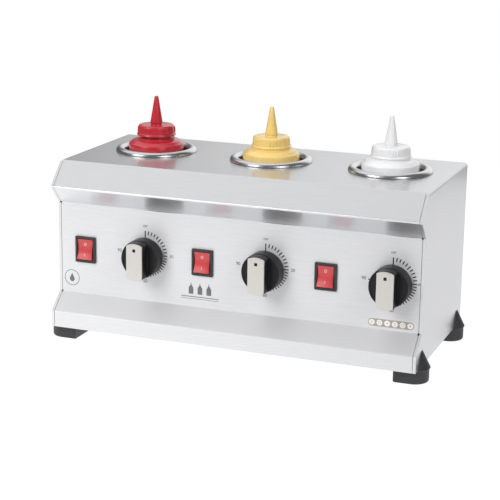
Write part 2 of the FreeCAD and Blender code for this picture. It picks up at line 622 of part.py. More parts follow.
def make_knob(x):
    z = FLOOR + KNOB_Z
    skirt_back = PANEL_Y - SKIRT_GAP
    skirt_face = PANEL_Y - SKIRT_FRONT
    grip_face = PANEL_Y - GRIP_FRONT
    depth = skirt_back - skirt_face
    skirt = rod(x, skirt_face, z, SKIRT_RADIUS, depth, Y)
    rim = [e for e in skirt.Edges if e.Closed and e.BoundBox.YMax < skirt_face + 0.01]
    skirt = skirt.makeFillet(SKIRT_ROUND, rim)
    hollow = tube(x, skirt_back - HOLLOW_DEPTH, z, SKIRT_RADIUS - SKIRT_WALL, BOSS_RADIUS,
                  HOLLOW_DEPTH + 1, Y)
    bar = knob_bar(x, z, GRIP_WIDTH, GRIP_RADIUS, grip_face, skirt_face + 1)
    mark = box(x - MARK_SIZE / 2, x + MARK_SIZE / 2, grip_face - FACE_THICKNESS + 0.1,
               grip_face + 1, z + MARK_LOW, z + MARK_LOW + MARK_SIZE)
    knob = fuse([skirt.cut(hollow), bar, mark])
    bore = d_section(x, SHAFT_END, z, SHAFT_RADIUS, SHAFT_FLAT, 40)
    return knob.cut(bore)


def make_knob_face(x):
    z = FLOOR + KNOB_Z
    grip_face = PANEL_Y - GRIP_FRONT
    plate = knob_bar(x, z, GRIP_WIDTH - 1.0, GRIP_RADIUS - 0.5, grip_face - FACE_THICKNESS,
                     grip_face)
    window = box(x - MARK_SIZE / 2, x + MARK_SIZE / 2, grip_face - 5, grip_face + 5,
                 z + MARK_LOW, z + MARK_LOW + MARK_SIZE)
    return plate.cut(window)


def make_thermostat(x):
    z = FLOOR + KNOB_Z
    plate_back = PANEL_BACK + THERMOSTAT_PLATE
    back = PANEL_BACK + THERMOSTAT_DEPTH
    half_w, half_h = THERMOSTAT_WIDTH / 2, THERMOSTAT_HEIGHT / 2
    plate_w, plate_h = THERMOSTAT_PLATE_WIDTH / 2, THERMOSTAT_PLATE_HEIGHT / 2
    case = box(x - half_w, x + half_w, plate_back, back, z - half_h, z + half_h)
    plate = box(x - plate_w, x + plate_w, PANEL_BACK, plate_back, z - plate_h, z + plate_h)
    neck = rod(x, PANEL_BACK - SHEET, z, SHAFT_RADIUS + 2, 3, Y)
    blades = [flat_blade(x + s * THERMOSTAT_BLADE_X, back, z - THERMOSTAT_BLADE_DROP,
                         THERMOSTAT_BLADE_LENGTH) for s in (-1, 1)]
    body = fuse([case, plate, neck] + blades)
    holes = [rod(x, PANEL_BACK - 2, h, SCREW_RADIUS, 9, Y) for h in thermostat_screw_heights()]
    holes.append(rod(x, PANEL_BACK - 2, z, SHAFT_RADIUS + SHAFT_FIT,
                     SHAFT_TAIL + 2 + FIT_GAP, Y))
    return body.cut(holes)


def flat_blade(x, y, z, length):
    """Flat push-on terminal that points backwards."""
    half, thin = BLADE_WIDTH / 2, BLADE_THICKNESS / 2
    return box(x - half, x + half, y, y + length, z - thin, z + thin)


def make_shaft(x):
    z = FLOOR + KNOB_Z
    plain = rod(x, PANEL_BACK - 2, z, SHAFT_RADIUS, SHAFT_TAIL + 2, Y)
    cut = d_section(x, SHAFT_END, z, SHAFT_RADIUS, SHAFT_FLAT, PANEL_BACK - 2 - SHAFT_END)
    return fuse([plain, cut])


def make_switch_housing(x):
    z = FLOOR + SWITCH_Z
    half_w, half_h = HOUSING_WIDTH / 2, HOUSING_HEIGHT / 2
    bezel_w, bezel_h = BEZEL_WIDTH / 2, BEZEL_HEIGHT / 2
    corners = [(-bezel_w, -bezel_h), (bezel_w, -bezel_h), (bezel_w, bezel_h), (-bezel_w, bezel_h)]
    front = PANEL_Y - BEZEL_DEPTH
    bezel = rounded_face(corners, [BEZEL_CORNER] * 4, lambda p: Vector(x + p.x, front, z + p.y))
    bezel = bezel.extrude(Y * BEZEL_DEPTH)
    rim = [e for e in bezel.Edges if e.BoundBox.YMax < front + 0.01]
    bezel = bezel.makeFillet(BEZEL_ROUND, rim)
    body = box(x - half_w, x + half_w, PANEL_Y, SWITCH_BACK, z - half_h, z + half_h)
    cavity = box(x - APERTURE_WIDTH / 2, x + APERTURE_WIDTH / 2, front - 1, LAMP_FLOOR,
                 z - APERTURE_HEIGHT / 2, z + APERTURE_HEIGHT / 2)
    reach = ROCKER_WIDTH / 2 + PIVOT_REACH + FIT_GAP
    pivot = rod(x - reach, ROCKER_PIVOT_Y, z, PIVOT_RADIUS + SHAFT_FIT, 2 * reach, X)
    return fuse([bezel, body]).cut([cavity, pivot])


def make_rocker(x):
    """Concave rocker on two stub pivots, its upper end pressed in."""
    z = FLOOR + SWITCH_Z
    reach, half, dish, back = ROCKER_REACH, ROCKER_HALF, ROCKER_DISH, -ROCKER_DEPTH
    radius = math.hypot(reach, half)
    back_half = math.sqrt(radius ** 2 - back ** 2)

    def place(out, up):
        return Vector(x - ROCKER_WIDTH / 2, ROCKER_PIVOT_Y - out, z + up)
    edges = [Part.Arc(place(reach, half), place(dish, 0), place(reach, -half)).toShape(),
             Part.Arc(place(reach, -half), place(0, -radius), place(back, -back_half)).toShape(),
             Part.LineSegment(place(back, -back_half), place(back, back_half)).toShape(),
             Part.Arc(place(back, back_half), place(0, radius), place(reach, half)).toShape()]
    rocker = Part.Face(Part.Wire(edges)).extrude(X * ROCKER_WIDTH)
    stub = ROCKER_WIDTH / 2 + PIVOT_REACH
    stubs = rod(x - stub, ROCKER_PIVOT_Y, z, PIVOT_RADIUS, 2 * stub, X)
    rocker = fuse([rocker, stubs])
    rocker.rotate(Vector(x, ROCKER_PIVOT_Y, z), X, -ROCKER_TILT)
    return rocker


# ---- capillaries and wiring ---------------------------------------------------------

def make_capillary(x, knob_x):
    """Sensing bulb held along the pot, with its thin tube down to the thermostat."""
    turn = math.radians(BULB_TURN)
    reach = POT_RADIUS + BULB_RADIUS
    bulb_x, bulb_y = x + reach * math.cos(turn), WELL_Y + reach * math.sin(turn)
    bulb = rod(bulb_x, bulb_y, FLOOR + BULB_LOW, BULB_RADIUS, BULB_HIGH - BULB_LOW)
    end_y = PANEL_BACK + THERMOSTAT_DEPTH
    level = FLOOR + KNOB_Z + 10
    route = [(bulb_x, bulb_y, FLOOR + BULB_LOW + 2), (bulb_x, bulb_y, level + 6),
             (bulb_x + 6, bulb_y - 9, level), (knob_x, end_y + 8, level),
             (knob_x, end_y, level)]
    return fuse([bulb, wire(route, CAPILLARY_RADIUS)])


def pole_x(pole):
    return BLOCK_X + (pole - (BLOCK_POLES - 1) / 2) * POLE_PITCH


def make_terminal_block():
    low = FLOOR + SHEET
    half = BLOCK_POLES * POLE_PITCH / 2
    block = box(BLOCK_X - half, BLOCK_X + half, BLOCK_Y - BLOCK_HALF_DEPTH,
                BLOCK_Y + BLOCK_HALF_DEPTH, low, low + BLOCK_HEIGHT)
    cuts = []
    for pole in range(BLOCK_POLES):
        for side in (-1, 1):
            cuts.append(rod(pole_x(pole), BLOCK_Y + side * 5, low + 9, 1.8, 7))
        cuts.append(rod(pole_x(pole), BLOCK_Y + 3, WIRE_LEVEL, WIRE_RADIUS, 7, Y))
    return block.cut(cuts)


def make_earth_stud():
    stud = rod(EARTH_X, EARTH_Y, FLOOR - 3, STUD_RADIUS, 20)
    nuts = [hex_prism(EARTH_X, EARTH_Y, level, 8, height, Z, STUD_RADIUS)
            for level, height in ((FLOOR - 2.5, 2.5), (FLOOR + SHEET, 3.2), (FLOOR + SHEET + 8, 3.2))]
    return fuse([stud] + nuts)


def floor_route(pole, bend_y, x, lane_y, level, end_y):
    """From a pole of the terminal block, along the floor, up in front of a well and forward."""
    start_x = pole_x(pole)
    front = BLOCK_Y - BLOCK_HALF_DEPTH
    return [(start_x, front, WIRE_LEVEL), (start_x, bend_y, WIRE_LEVEL),
            (x, lane_y, WIRE_LEVEL), (x, lane_y, level), (x, end_y, level)]


def live_wires():
    """Supply to the right switch, on to the other two, then switch, thermostat, heater."""
    blade_end = SWITCH_BACK + BLADE_LENGTH
    lane = blade_end + 7.3
    side = 2.0
    switches = [centre + SWITCH_SHIFT for centre in sorted(MODULES.values())]
    wires = [wire(floor_route(LIVE_POLE, LIVE_BEND, switches[-1] + side, lane, BLADE_LEVEL,
                              blade_end), WIRE_RADIUS)]
    for left, right in zip(switches, switches[1:]):
        start, end = right - side, left + side
        wires.append(wire([(start, blade_end, BLADE_LEVEL), (start, lane, BLADE_LEVEL),
                           (end, lane, BLADE_LEVEL), (end, blade_end, BLADE_LEVEL)], WIRE_RADIUS))
    high = BLADE_LEVEL + 2 * BLADE_RISE
    low = FLOOR + KNOB_Z - THERMOSTAT_BLADE_DROP
    end_y = PANEL_BACK + THERMOSTAT_DEPTH + THERMOSTAT_BLADE_LENGTH
    switched_y, heater_y = lane + 4.5, lane + 8.0
    for name, centre in MODULES.items():
        switch_x = centre + SWITCH_SHIFT
        heater_x = WELLS[name] + 5
        near = centre + KNOB_SHIFT - THERMOSTAT_BLADE_X
        far = centre + KNOB_SHIFT + THERMOSTAT_BLADE_X
        wires.append(wire([(switch_x, blade_end, high), (switch_x, switched_y, high),
                           (near, switched_y, low), (near, end_y, low)], WIRE_RADIUS))
        wires.append(wire([(far, end_y, low), (far, heater_y, low),
                           (heater_x, heater_y, HEATER_BLOCK_LEVEL),
                           (heater_x, HEATER_BLOCK_Y, HEATER_BLOCK_LEVEL)], WIRE_RADIUS))
    return wires


def neutral_wires():
    return [wire(floor_route(NEUTRAL_POLES[name], NEUTRAL_BENDS[name], x - 5,
                             HEATER_BLOCK_Y - 8, HEATER_BLOCK_LEVEL, HEATER_BLOCK_Y), WIRE_RADIUS)
            for name, x in WELLS.items()]


def earth_wire():
    start_x, front = pole_x(EARTH_POLE), BLOCK_Y - BLOCK_HALF_DEPTH
    lane = front - 8
    return wire([(start_x, front, WIRE_LEVEL), (start_x, lane, WIRE_LEVEL),
                 (EARTH_X, lane, WIRE_LEVEL), (EARTH_X, EARTH_Y - STUD_RADIUS, WIRE_LEVEL)],
                WIRE_RADIUS)


def switch_blades():
    blades = []
    for centre in MODULES.values():
        x = centre + SWITCH_SHIFT
        for step in (-1, 0, 1):
            z = FLOOR + SWITCH_Z + step * BLADE_RISE
            blades.append(flat_blade(x, SWITCH_BACK, z, BLADE_LENGTH))
    return blades


def switch_lamps():
    """Glow lamps on the floor of each rocker's cavity."""
    return [rod(x + SWITCH_SHIFT - LAMP_LENGTH / 2, LAMP_FLOOR - LAMP_RADIUS, FLOOR + SWITCH_Z,
                LAMP_RADIUS, LAMP_LENGTH, X) for x in MODULES.values()]


def heater_screws():
    pieces = []
    y = WELL_Y + POT_RADIUS + CLAMP_Y
    lug = LUG_GAP / 2 + LUG_THICKNESS
    length = 2 * lug + NUT_HEIGHT + 1.6
    for x in WELLS.values():
        for z in LUG_Z:
            pieces.append(pan_screw(x + lug, y, FLOOR + z, X * -1, length))
            pieces.append(hex_prism(x - lug - NUT_HEIGHT, y, FLOOR + z, NUT_FLATS, NUT_HEIGHT,
                                    X, SCREW_RADIUS))
    return pieces


def make_gland():
    """Nylon cable gland through the back panel, bored for the mains cord."""
    z = FLOOR + GLAND_Z
    flange = hex_prism(GLAND_X, BACK_Y, z, GLAND_FLATS, GLAND_FLANGE, Y, GLAND_BORE)
    thread = tube(GLAND_X, BACK_Y - GLAND_THREAD, z, GLAND_RADIUS, GLAND_BORE, GLAND_THREAD, Y)
    dome = rod(GLAND_X, BACK_Y + GLAND_FLANGE, z, DOME_RADIUS,
               EXTENT_Y - BACK_Y - GLAND_FLANGE, Y)
    rim = [e for e in dome.Edges if e.Closed and e.BoundBox.YMin > EXTENT_Y - 0.01]
    dome = dome.makeFillet(DOME_ROUND, rim)
    dome = dome.cut(rod(GLAND_X, BACK_Y, z, GLAND_BORE, 40, Y))
    return fuse([flange, thread, dome])


def build():
    export("body_shell", make_body_shell())
    export("back_panel", make_back_panel())
    export("base_plate", make_base_plate())
    screws = [pan_screw(x, BACK_Y, z, Y * -1, 6) for x, z in back_screw_places()]
    group("panel_screws", screws)
    for end, y in FOOT_YS.items():
        for name, side in (("left", -1), ("right", 1)):
            export("foot_%s_%s" % (end, name), make_foot(side, y))
    group("foot_screws", [pan_screw(x, y, COUNTERBORE_DEPTH, Z, FOOT_SCREW_LENGTH)
                          for x, y in foot_screw_places()])
    group("thermostat_screws", [pan_screw(x + KNOB_SHIFT, PANEL_Y, z, Y, 8)
                                for x in MODULES.values() for z in thermostat_screw_heights()])
    group("heater_clamp_screws", heater_screws())
    group("foot_nuts", [hex_prism(x, y, FLOOR + SHEET, NUT_FLATS, NUT_HEIGHT, Z, SCREW_RADIUS)
                        for x, y in foot_screw_places()])
    for name, centre in MODULES.items():
        x, raised = WELLS[name], CAP_RAISED[name]
        knob_x, switch_x = centre + KNOB_SHIFT, centre + SWITCH_SHIFT
        export("well_" + name, make_well(x))
        export("well_clip_" + name, make_well_clip(x))
        export("band_heater_" + name, make_band_heater(x))
        export("bottle_" + name, make_bottle(x))
        export("cap_" + name, make_cap(x, raised))
        export("cap_seal_" + name, make_cap_seal(x, raised))
        export("knob_" + name, make_knob(knob_x))
        export("knob_face_" + name, make_knob_face(knob_x))
        export("thermostat_" + name, make_thermostat(knob_x))
        export("thermostat_shaft_" + name, make_shaft(knob_x))
        export("capillary_" + name, make_capillary(x, knob_x))
        export("switch_housing_" + name, make_switch_housing(switch_x))
        export("rocker_" + name, make_rocker(switch_x))
    group("switch_terminals", switch_blades())
    group("switch_lamps", switch_lamps())
    export("terminal_block", make_terminal_block())
    export("earth_stud", make_earth_stud())
    export("cable_gland", make_gland())
    export("gland_locknut", hex_prism(GLAND_X, BACK_Y - SHEET - LOCKNUT_HEIGHT, FLOOR + GLAND_Z,
                                      LOCKNUT_FLATS, LOCKNUT_HEIGHT, Y, GLAND_RADIUS))
    group("wiring_live", live_wires())
    group("wiring_neutral", neutral_wires())
    export("wiring_earth", earth_wire())


build()
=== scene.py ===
import math
import bmesh
import bpy
import numpy as np
from mathutils import Matrix, Vector


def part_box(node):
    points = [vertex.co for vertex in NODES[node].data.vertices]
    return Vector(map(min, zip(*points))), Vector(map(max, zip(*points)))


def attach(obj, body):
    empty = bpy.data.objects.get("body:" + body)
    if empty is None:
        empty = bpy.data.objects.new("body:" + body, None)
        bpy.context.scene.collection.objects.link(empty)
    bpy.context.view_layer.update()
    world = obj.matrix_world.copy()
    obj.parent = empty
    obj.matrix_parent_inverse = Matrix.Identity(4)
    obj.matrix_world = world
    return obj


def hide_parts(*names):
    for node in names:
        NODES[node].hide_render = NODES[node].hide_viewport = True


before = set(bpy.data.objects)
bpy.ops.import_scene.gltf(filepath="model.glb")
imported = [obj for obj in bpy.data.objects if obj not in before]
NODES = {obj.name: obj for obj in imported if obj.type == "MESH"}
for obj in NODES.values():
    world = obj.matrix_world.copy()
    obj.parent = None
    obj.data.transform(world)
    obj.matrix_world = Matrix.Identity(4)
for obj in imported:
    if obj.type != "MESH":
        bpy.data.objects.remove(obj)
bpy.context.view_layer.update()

MM = 0.001
SIDES = ("left", "middle", "right")


def middle_of(node):
    low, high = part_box(node)
    return (low + high) / 2


PANEL_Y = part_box("switch_housing_middle")[0].y + 2.5 * MM      # front face of the control panel
KNOBS = {side: middle_of("knob_face_" + side) for side in SIDES}
SWITCHES = {side: middle_of("switch_housing_" + side) for side in SIDES}
WELLS = {side: middle_of("well_" + side) for side in SIDES}
PLATE_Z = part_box("body_shell")[1].z                            # top plate
CASE_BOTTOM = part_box("body_shell")[0].z


# ---- mesh helpers -------------------------------------------------------------------
def arc(centre_u, centre_v, radius, start, end, steps=8, squash=1.0):
    """Points round a circle from start to end degrees; squash scales the second axis."""
    turn = np.radians(np.linspace(start, end, steps + 1))
    return np.stack([centre_u + radius * np.cos(turn),
                     centre_v + radius * squash * np.sin(turn)], axis=1)


def join(*parts):
    """One outline from points and arrays of points."""
    return np.concatenate([np.atleast_2d(np.asarray(p, float)) for p in parts])


def rounded(corners, radii, steps=5, closed=True):
    """Outline through the corners, each one replaced by an arc tangent to its two sides:
    centre = corner + bisector * r / sin(half angle)."""
    corners = np.asarray(corners, float)
    pieces = []
    count = len(corners)
    for i, radius in enumerate(radii):
        here = corners[i]
        if radius == 0 or (not closed and i in (0, count - 1)):
            pieces.append(here[None])
            continue
        back = corners[i - 1] - here
        ahead = corners[(i + 1) % count] - here
        back, ahead = back / np.linalg.norm(back), ahead / np.linalg.norm(ahead)
        half = math.acos(np.clip(back @ ahead, -1, 1)) / 2
        bisector = (back + ahead) / np.linalg.norm(back + ahead)
        centre = here + bisector * radius / math.sin(half)
        start = here + back * radius / math.tan(half) - centre
        end = here + ahead * radius / math.tan(half) - centre
        first, last = math.atan2(start[1], start[0]), math.atan2(end[1], end[0])
        sweep = (last - first + math.pi) % (2 * math.pi) - math.pi
        turn = first + np.linspace(0, sweep, steps + 1)
        pieces.append(centre + radius * np.stack([np.cos(turn), np.sin(turn)], axis=1))
    return np.concatenate(pieces)


def add_object(name, data):
    """New object in the scene, at the origin."""
    added = bpy.data.objects.new(name, data)
    bpy.context.scene.collection.objects.link(added)
    return added


def mesh_piece(name, points, faces, body, material, sharp=35.0):
    """Puts arrays of points and faces into a new piece that rides on a body."""
    mesh = bpy.data.meshes.new(name)
    mesh.from_pydata(points.reshape(-1, 3).tolist(), [], [list(map(int, f)) for f in faces])
    mesh.validate()
    mesh.update()
    mesh.shade_smooth()
    mesh.set_sharp_from_angle(angle=math.radians(sharp))
    piece = add_object(name, mesh)
    for one in material if isinstance(material, (list, tuple)) else [material]:
        mesh.materials.append(one)
    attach(piece, body)
    return piece


def grid_faces(rows, columns, wrap_rows=False, wrap_columns=False, start=0):
    """Quads between neighbouring rows and columns of a grid of points."""
    row = np.arange(rows if wrap_rows else rows - 1)
    column = np.arange(columns if wrap_columns else columns - 1)
    r, c = np.meshgrid(row, column, indexing="ij")
    r2, c2 = (r + 1) % rows, (c + 1) % columns
    quads = np.stack([r * columns + c, r * columns + c2, r2 * columns + c2, r2 * columns + c],
                     axis=-1)
    return start + quads.reshape(-1, 4)


def spin(name, profile, place, body, material, segments=96, ripple=None, sharp=35.0):
    """Surface of revolution: place(r cos t, r sin t, h) for each profile point (r, h), with
    ripple(t) added to r where given. The profile is closed: its last point joins its first."""
    turn = np.linspace(0, 2 * np.pi, segments, endpoint=False)
    radius = profile[:, 0][:, None] + np.zeros(segments)
    if ripple is not None:
        radius = radius + ripple(turn)
    height = profile[:, 1][:, None] + np.zeros(segments)
    points = place(radius * np.cos(turn), radius * np.sin(turn), height)
    faces = grid_faces(len(profile), segments, wrap_rows=True, wrap_columns=True)
    piece = mesh_piece(name, points, faces, body, material, sharp)
    merge(piece)
    return piece


def merge(piece):
    """Closes poles and seams, and turns every face outwards."""
    work = bmesh.new()
    work.from_mesh(piece.data)
    bmesh.ops.remove_doubles(work, verts=work.verts, dist=1e-6)
    bmesh.ops.dissolve_degenerate(work, edges=work.edges, dist=1e-7)
    bmesh.ops.recalc_face_normals(work, faces=work.faces)
    work.to_mesh(piece.data)
    work.free()
    piece.data.update()


def outline_normals(outline):
    """Unit normals of a closed outline, pointing to its left-hand side turned out."""
    ahead = np.roll(outline, -1, axis=0) - np.roll(outline, 1, axis=0)
    ahead = ahead / np.maximum(np.linalg.norm(ahead, axis=1, keepdims=True), 1e-9)
    return np.stack([ahead[:, 1], -ahead[:, 0]], axis=1)


def carried(name, outline, steps, place, body, material, sharp=35.0, flare=None):
    """Closed solid: the outline (counter-clockwise) is carried along a path of steps
    (depth, inset), each ring moved in along the outline's normals by its inset, and both
    ends are closed by a flat face. A negative inset is scaled by flare where it is given.
    place(u, v, depth) gives the points in space."""
    normals = outline_normals(outline)
    share = 1.0 if flare is None else flare
    rings = [outline - normals * inset * (share if inset < 0 else 1.0)
             for depth, inset in steps]
    depths = [depth for depth, inset in steps]
    points = np.concatenate([place(ring[:, 0], ring[:, 1], np.full(len(ring), depth))
                             for ring, depth in zip(rings, depths)])
    count = len(outline)
    faces = grid_faces(len(steps), count, wrap_columns=True).tolist()
    faces.append(list(range(count)))
    faces.append(list(range(count * (len(steps) - 1), count * len(steps))))
    piece = mesh_piece(name, points, faces, body, material, sharp)
    merge(piece)
    return piece


def on_panel(centre, y_at):
    """Places (u right, v up, depth out of the panel) in millimetres at a centre."""
    def place(u, v, depth):
        return np.stack([centre.x + u * MM, y_at - depth * MM, centre.z + v * MM], axis=-1)
    return place


def lifted(place, more):
    """The same place, further out of the panel."""
    def higher(u, v, depth):
        return place(u, v, depth + more)
    return higher


def upright(centre, z_at):
    """Places (u, v across, height) in millimetres about an upright axis."""
    def place(u, v, height):
        return np.stack([centre.x + u * MM, centre.y + v * MM, z_at + height * MM], axis=-1)
    return place


# ---- shader node groups --------------------------------------------------------------
def new_group(name, inputs, outputs):
    """Node group with named sockets: inputs and outputs are (name, kind, default)."""
    group = bpy.data.node_groups.new(name, "ShaderNodeTree")
    for label, kind, default in inputs:
        socket = group.interface.new_socket(label, in_out="INPUT", socket_type=kind)
        socket.default_value = default
    for label, kind in outputs:
        group.interface.new_socket(label, in_out="OUTPUT", socket_type=kind)
    return group, group.nodes.new("NodeGroupInput"), group.nodes.new("NodeGroupOutput")


def feed(tree, socket, value):
    """Links a socket from another one, or sets it to a plain value."""
    if isinstance(value, bpy.types.NodeSocket):
        tree.links.new(value, socket)
    else:
        socket.default_value = value


def math_node(tree, operation, first, second=0.0):
    node = tree.nodes.new("ShaderNodeMath")
    node.operation = operation
    feed(tree, node.inputs[0], first)
    feed(tree, node.inputs[1], second)
    return node.outputs[0]


def vector_node(tree, operation, first, second):
    node = tree.nodes.new("ShaderNodeVectorMath")
    node.operation = operation
    feed(tree, node.inputs[0], first)
    feed(tree, node.inputs[1], second)
    return node.outputs["Value"] if operation == "DOT_PRODUCT" else node.outputs[0]


def axes(tree, vector):
    """The x, y and z of a vector."""
    node = tree.nodes.new("ShaderNodeSeparateXYZ")
    tree.links.new(vector, node.inputs[0])
    return node.outputs


def noise_node(tree, vector, scale, detail=3.0, roughness=0.55):
    node = tree.nodes.new("ShaderNodeTexNoise")
    node.inputs["Scale"].default_value = scale
    node.inputs["Detail"].default_value = detail
    node.inputs["Roughness"].default_value = roughness
    tree.links.new(vector, node.inputs["Vector"])
    return node.outputs["Fac"]


def make_grain_group():
    """Long fine lines: noise on a place squeezed along the grain, out as a mask and a bump."""
    group, source, sink = new_group(
        "fine_grain",
        [("Place", "NodeSocketVector", (0, 0, 0)), ("Stretch", "NodeSocketVector", (1, 1, 1)),
         ("Depth", "NodeSocketFloat", 0.1)],
        [("Lines", "NodeSocketFloat"), ("Normal", "NodeSocketVector")])
    squeezed = vector_node(group, "MULTIPLY", source.outputs["Place"], source.outputs["Stretch"])
    coarse = noise_node(group, squeezed, 1.0, 2.0)
    fine = noise_node(group, squeezed, 3.7, 2.0)
    lines = math_node(group, "MULTIPLY", math_node(group, "ADD", coarse, fine), 0.5)
    bump = group.nodes.new("ShaderNodeBump")
    bump.inputs["Distance"].default_value = 0.0004
    group.links.new(source.outputs["Depth"], bump.inputs["Strength"])
    group.links.new(lines, bump.inputs["Height"])
    group.links.new(lines, sink.inputs["Lines"])
    group.links.new(bump.outputs["Normal"], sink.inputs["Normal"])
    return group


def make_edge_group():
    """Rubbed edges: how far a rounded normal leans from the true one, broken by noise."""
    group, source, sink = new_group(
        "rubbed_edges",
        [("Place", "NodeSocketVector", (0, 0, 0)), ("Width", "NodeSocketFloat", 0.0008),
         ("Amount", "NodeSocketFloat", 0.5)],
        [("Mask", "NodeSocketFloat")])
    bevel = group.nodes.new("ShaderNodeBevel")
    bevel.samples = 4
    group.links.new(source.outputs["Width"], bevel.inputs["Radius"])
    geometry = group.nodes.new("ShaderNodeNewGeometry")
    lean = vector_node(group, "DOT_PRODUCT", bevel.outputs["Normal"], geometry.outputs["Normal"])
    edge = math_node(group, "MULTIPLY", math_node(group, "SUBTRACT", 1.0, lean), 4.0)
    broken = math_node(group, "MULTIPLY", edge,
                       noise_node(group, source.outputs["Place"], 260.0, 4.0))
    mask = math_node(group, "MULTIPLY", broken, source.outputs["Amount"])
    clamp = group.nodes.new("ShaderNodeClamp")
    group.links.new(mask, clamp.inputs["Value"])
    group.links.new(clamp.outputs[0], sink.inputs["Mask"])
    return group


def make_skin_group():
    """Moulded or rolled skin: slow patches for gloss and a fine pebbled bump."""
    group, source, sink = new_group(
        "moulded_skin",
        [("Place", "NodeSocketVector", (0, 0, 0)), ("Pebble", "NodeSocketFloat", 1500.0),
         ("Depth", "NodeSocketFloat", 0.1)],
        [("Patches", "NodeSocketFloat"), ("Normal", "NodeSocketVector")])
    patches = noise_node(group, source.outputs["Place"], 28.0, 3.0)
    pebble = group.nodes.new("ShaderNodeTexNoise")
    pebble.inputs["Detail"].default_value = 2.0
    group.links.new(source.outputs["Place"], pebble.inputs["Vector"])
    group.links.new(source.outputs["Pebble"], pebble.inputs["Scale"])
    bump = group.nodes.new("ShaderNodeBump")
    bump.inputs["Distance"].default_value = 0.0003
    group.links.new(source.outputs["Depth"], bump.inputs["Strength"])
    group.links.new(pebble.outputs["Fac"], bump.inputs["Height"])
    group.links.new(patches, sink.inputs["Patches"])
    group.links.new(bump.outputs["Normal"], sink.inputs["Normal"])
    return group


GRAIN = make_grain_group()
EDGES = make_edge_group()
SKIN = make_skin_group()


# ---- materials -----------------------------------------------------------------------
def start_material(name, color, roughness, metallic=0.0, **sockets):
    """Principled material; returns it with its tree, shader and object coordinates."""
    material = bpy.data.materials.new(name)
    material.use_nodes = True
    tree = material.node_tree
    shader = tree.nodes["Principled BSDF"]
    shader.inputs["Base Color"].default_value = (*color, 1.0)
    shader.inputs["Roughness"].default_value = roughness
    shader.inputs["Metallic"].default_value = metallic
    for label, value in sockets.items():
        shader.inputs[label.replace("_", " ")].default_value = value
    place = tree.nodes.new("ShaderNodeTexCoord").outputs["Object"]
    return material, tree, shader, place


def use_group(tree, group, place, **values):
    node = tree.nodes.new("ShaderNodeGroup")
    node.node_tree = group
    tree.links.new(place, node.inputs["Place"])
    for label, value in values.items():
        feed(tree, node.inputs[label], value)
    return node


def spread(tree, mask, low, high):
    """Maps a mask of 0 to 1 on to low to high."""
    node = tree.nodes.new("ShaderNodeMapRange")
    node.inputs["To Min"].default_value = low
    node.inputs["To Max"].default_value = high
    tree.links.new(mask, node.inputs["Value"])
    return node.outputs["Result"]


def mix_node(tree, kind, mask, first, second):
    """From first, where the mask is 0, to second, where it is 1. The kind is the sockets'
    type: VALUE, VECTOR or RGBA."""
    node = tree.nodes.new("ShaderNodeMix")
    node.data_type = "FLOAT" if kind == "VALUE" else kind
    choices = [socket for socket in node.inputs if socket.type == kind][-2:]
    feed(tree, choices[0], first)
    feed(tree, choices[1], second)
    tree.links.new(mask, node.inputs["Factor"])
    return [socket for socket in node.outputs if socket.type == kind][0]


def opaque(color):
    return color if isinstance(color, bpy.types.NodeSocket) else (*color, 1.0)


def blend_colors(tree, mask, first, second):
    return mix_node(tree, "RGBA", mask, opaque(first), opaque(second))


def rolled_finish(tree, place, color, low, high, stretch, depth):
    """Grain of rolled sheet, with its roughness, cloudy by PATCH_GLOSS, and its colour."""
    grain = use_group(tree, GRAIN, place, Stretch=stretch, Depth=depth)
    lines = grain.outputs["Lines"]
    patches = noise_node(tree, place, PATCH_SCALE, 3.0)
    rough = math_node(tree, "ADD", spread(tree, lines, low, high),
                      spread(tree, patches, -PATCH_GLOSS, PATCH_GLOSS))
    darker = tuple(c * LINE_SHADE for c in color)
    return grain.outputs["Normal"], rough, blend_colors(tree, lines, darker, color)


def lay_finish(tree, shader, normal, rough, finish):
    tree.links.new(normal, shader.inputs["Normal"])
    tree.links.new(rough, shader.inputs["Roughness"])
    tree.links.new(finish, shader.inputs["Base Color"])


def brushed_steel(name, color, low, high, stretch, depth):
    """Rolled sheet with its grain along one axis."""
    material, tree, shader, place = start_material(name, color, low, 1.0)
    lay_finish(tree, shader, *rolled_finish(tree, place, color, low, high, stretch, depth))
    return material


def folded_steel(name, color, low, high, stretch, depth, metallic):
    """The case's sheet, glossier across the grain than along it. The grain runs down the
    ends of the case, as the top folds into them, and the front faces and the lower fold,
    wiped most often, are duller. The lower fold's colour is made darker as painted shade."""
    material, tree, shader, place = start_material(name, color, low, metallic)
    facing = tree.nodes.new("ShaderNodeNewGeometry").outputs["Normal"]
    lean = axes(tree, facing)
    end_face = math_node(tree, "GREATER_THAN", math_node(tree, "ABSOLUTE", lean[0]), END_LEAN)
    front = math_node(tree, "LESS_THAN", lean[1], FRONT_LEAN)
    fold = math_node(tree, "MULTIPLY", math_node(tree, "GREATER_THAN", lean[2], FOLD_LEAN),
                     math_node(tree, "LESS_THAN", axes(tree, place)[2], LOWER_FOLD_TOP))
    down = (stretch[1], stretch[2], stretch[0])
    normal, rough, finish = rolled_finish(
        tree, place, color, low, high, mix_node(tree, "VECTOR", end_face, stretch, down), depth)
    rough = math_node(tree, "ADD", rough, spread(tree, front, 0.0, FRONT_DULL))
    rough = math_node(tree, "ADD", rough, spread(tree, fold, 0.0, FOLD_DULL))
    # the lower fold's colour is blended to a darker grey: painted shade
    lay_finish(tree, shader, normal, rough, blend_colors(tree, fold, finish, FOLD_PAINTED_SHADE))
    grain_way = mix_node(tree, "VECTOR", end_face, (1, 0, 0), (0, 0, 1))
    tree.links.new(vector_node(tree, "CROSS_PRODUCT", facing, grain_way),
                   shader.inputs["Tangent"])
    shader.inputs["Anisotropic"].default_value = CASE_STREAK
    tree.links.new(spread(tree, math_node(tree, "ADD", fold, front), metallic, WIPED_METALLIC),
                   shader.inputs["Metallic"])
    return material


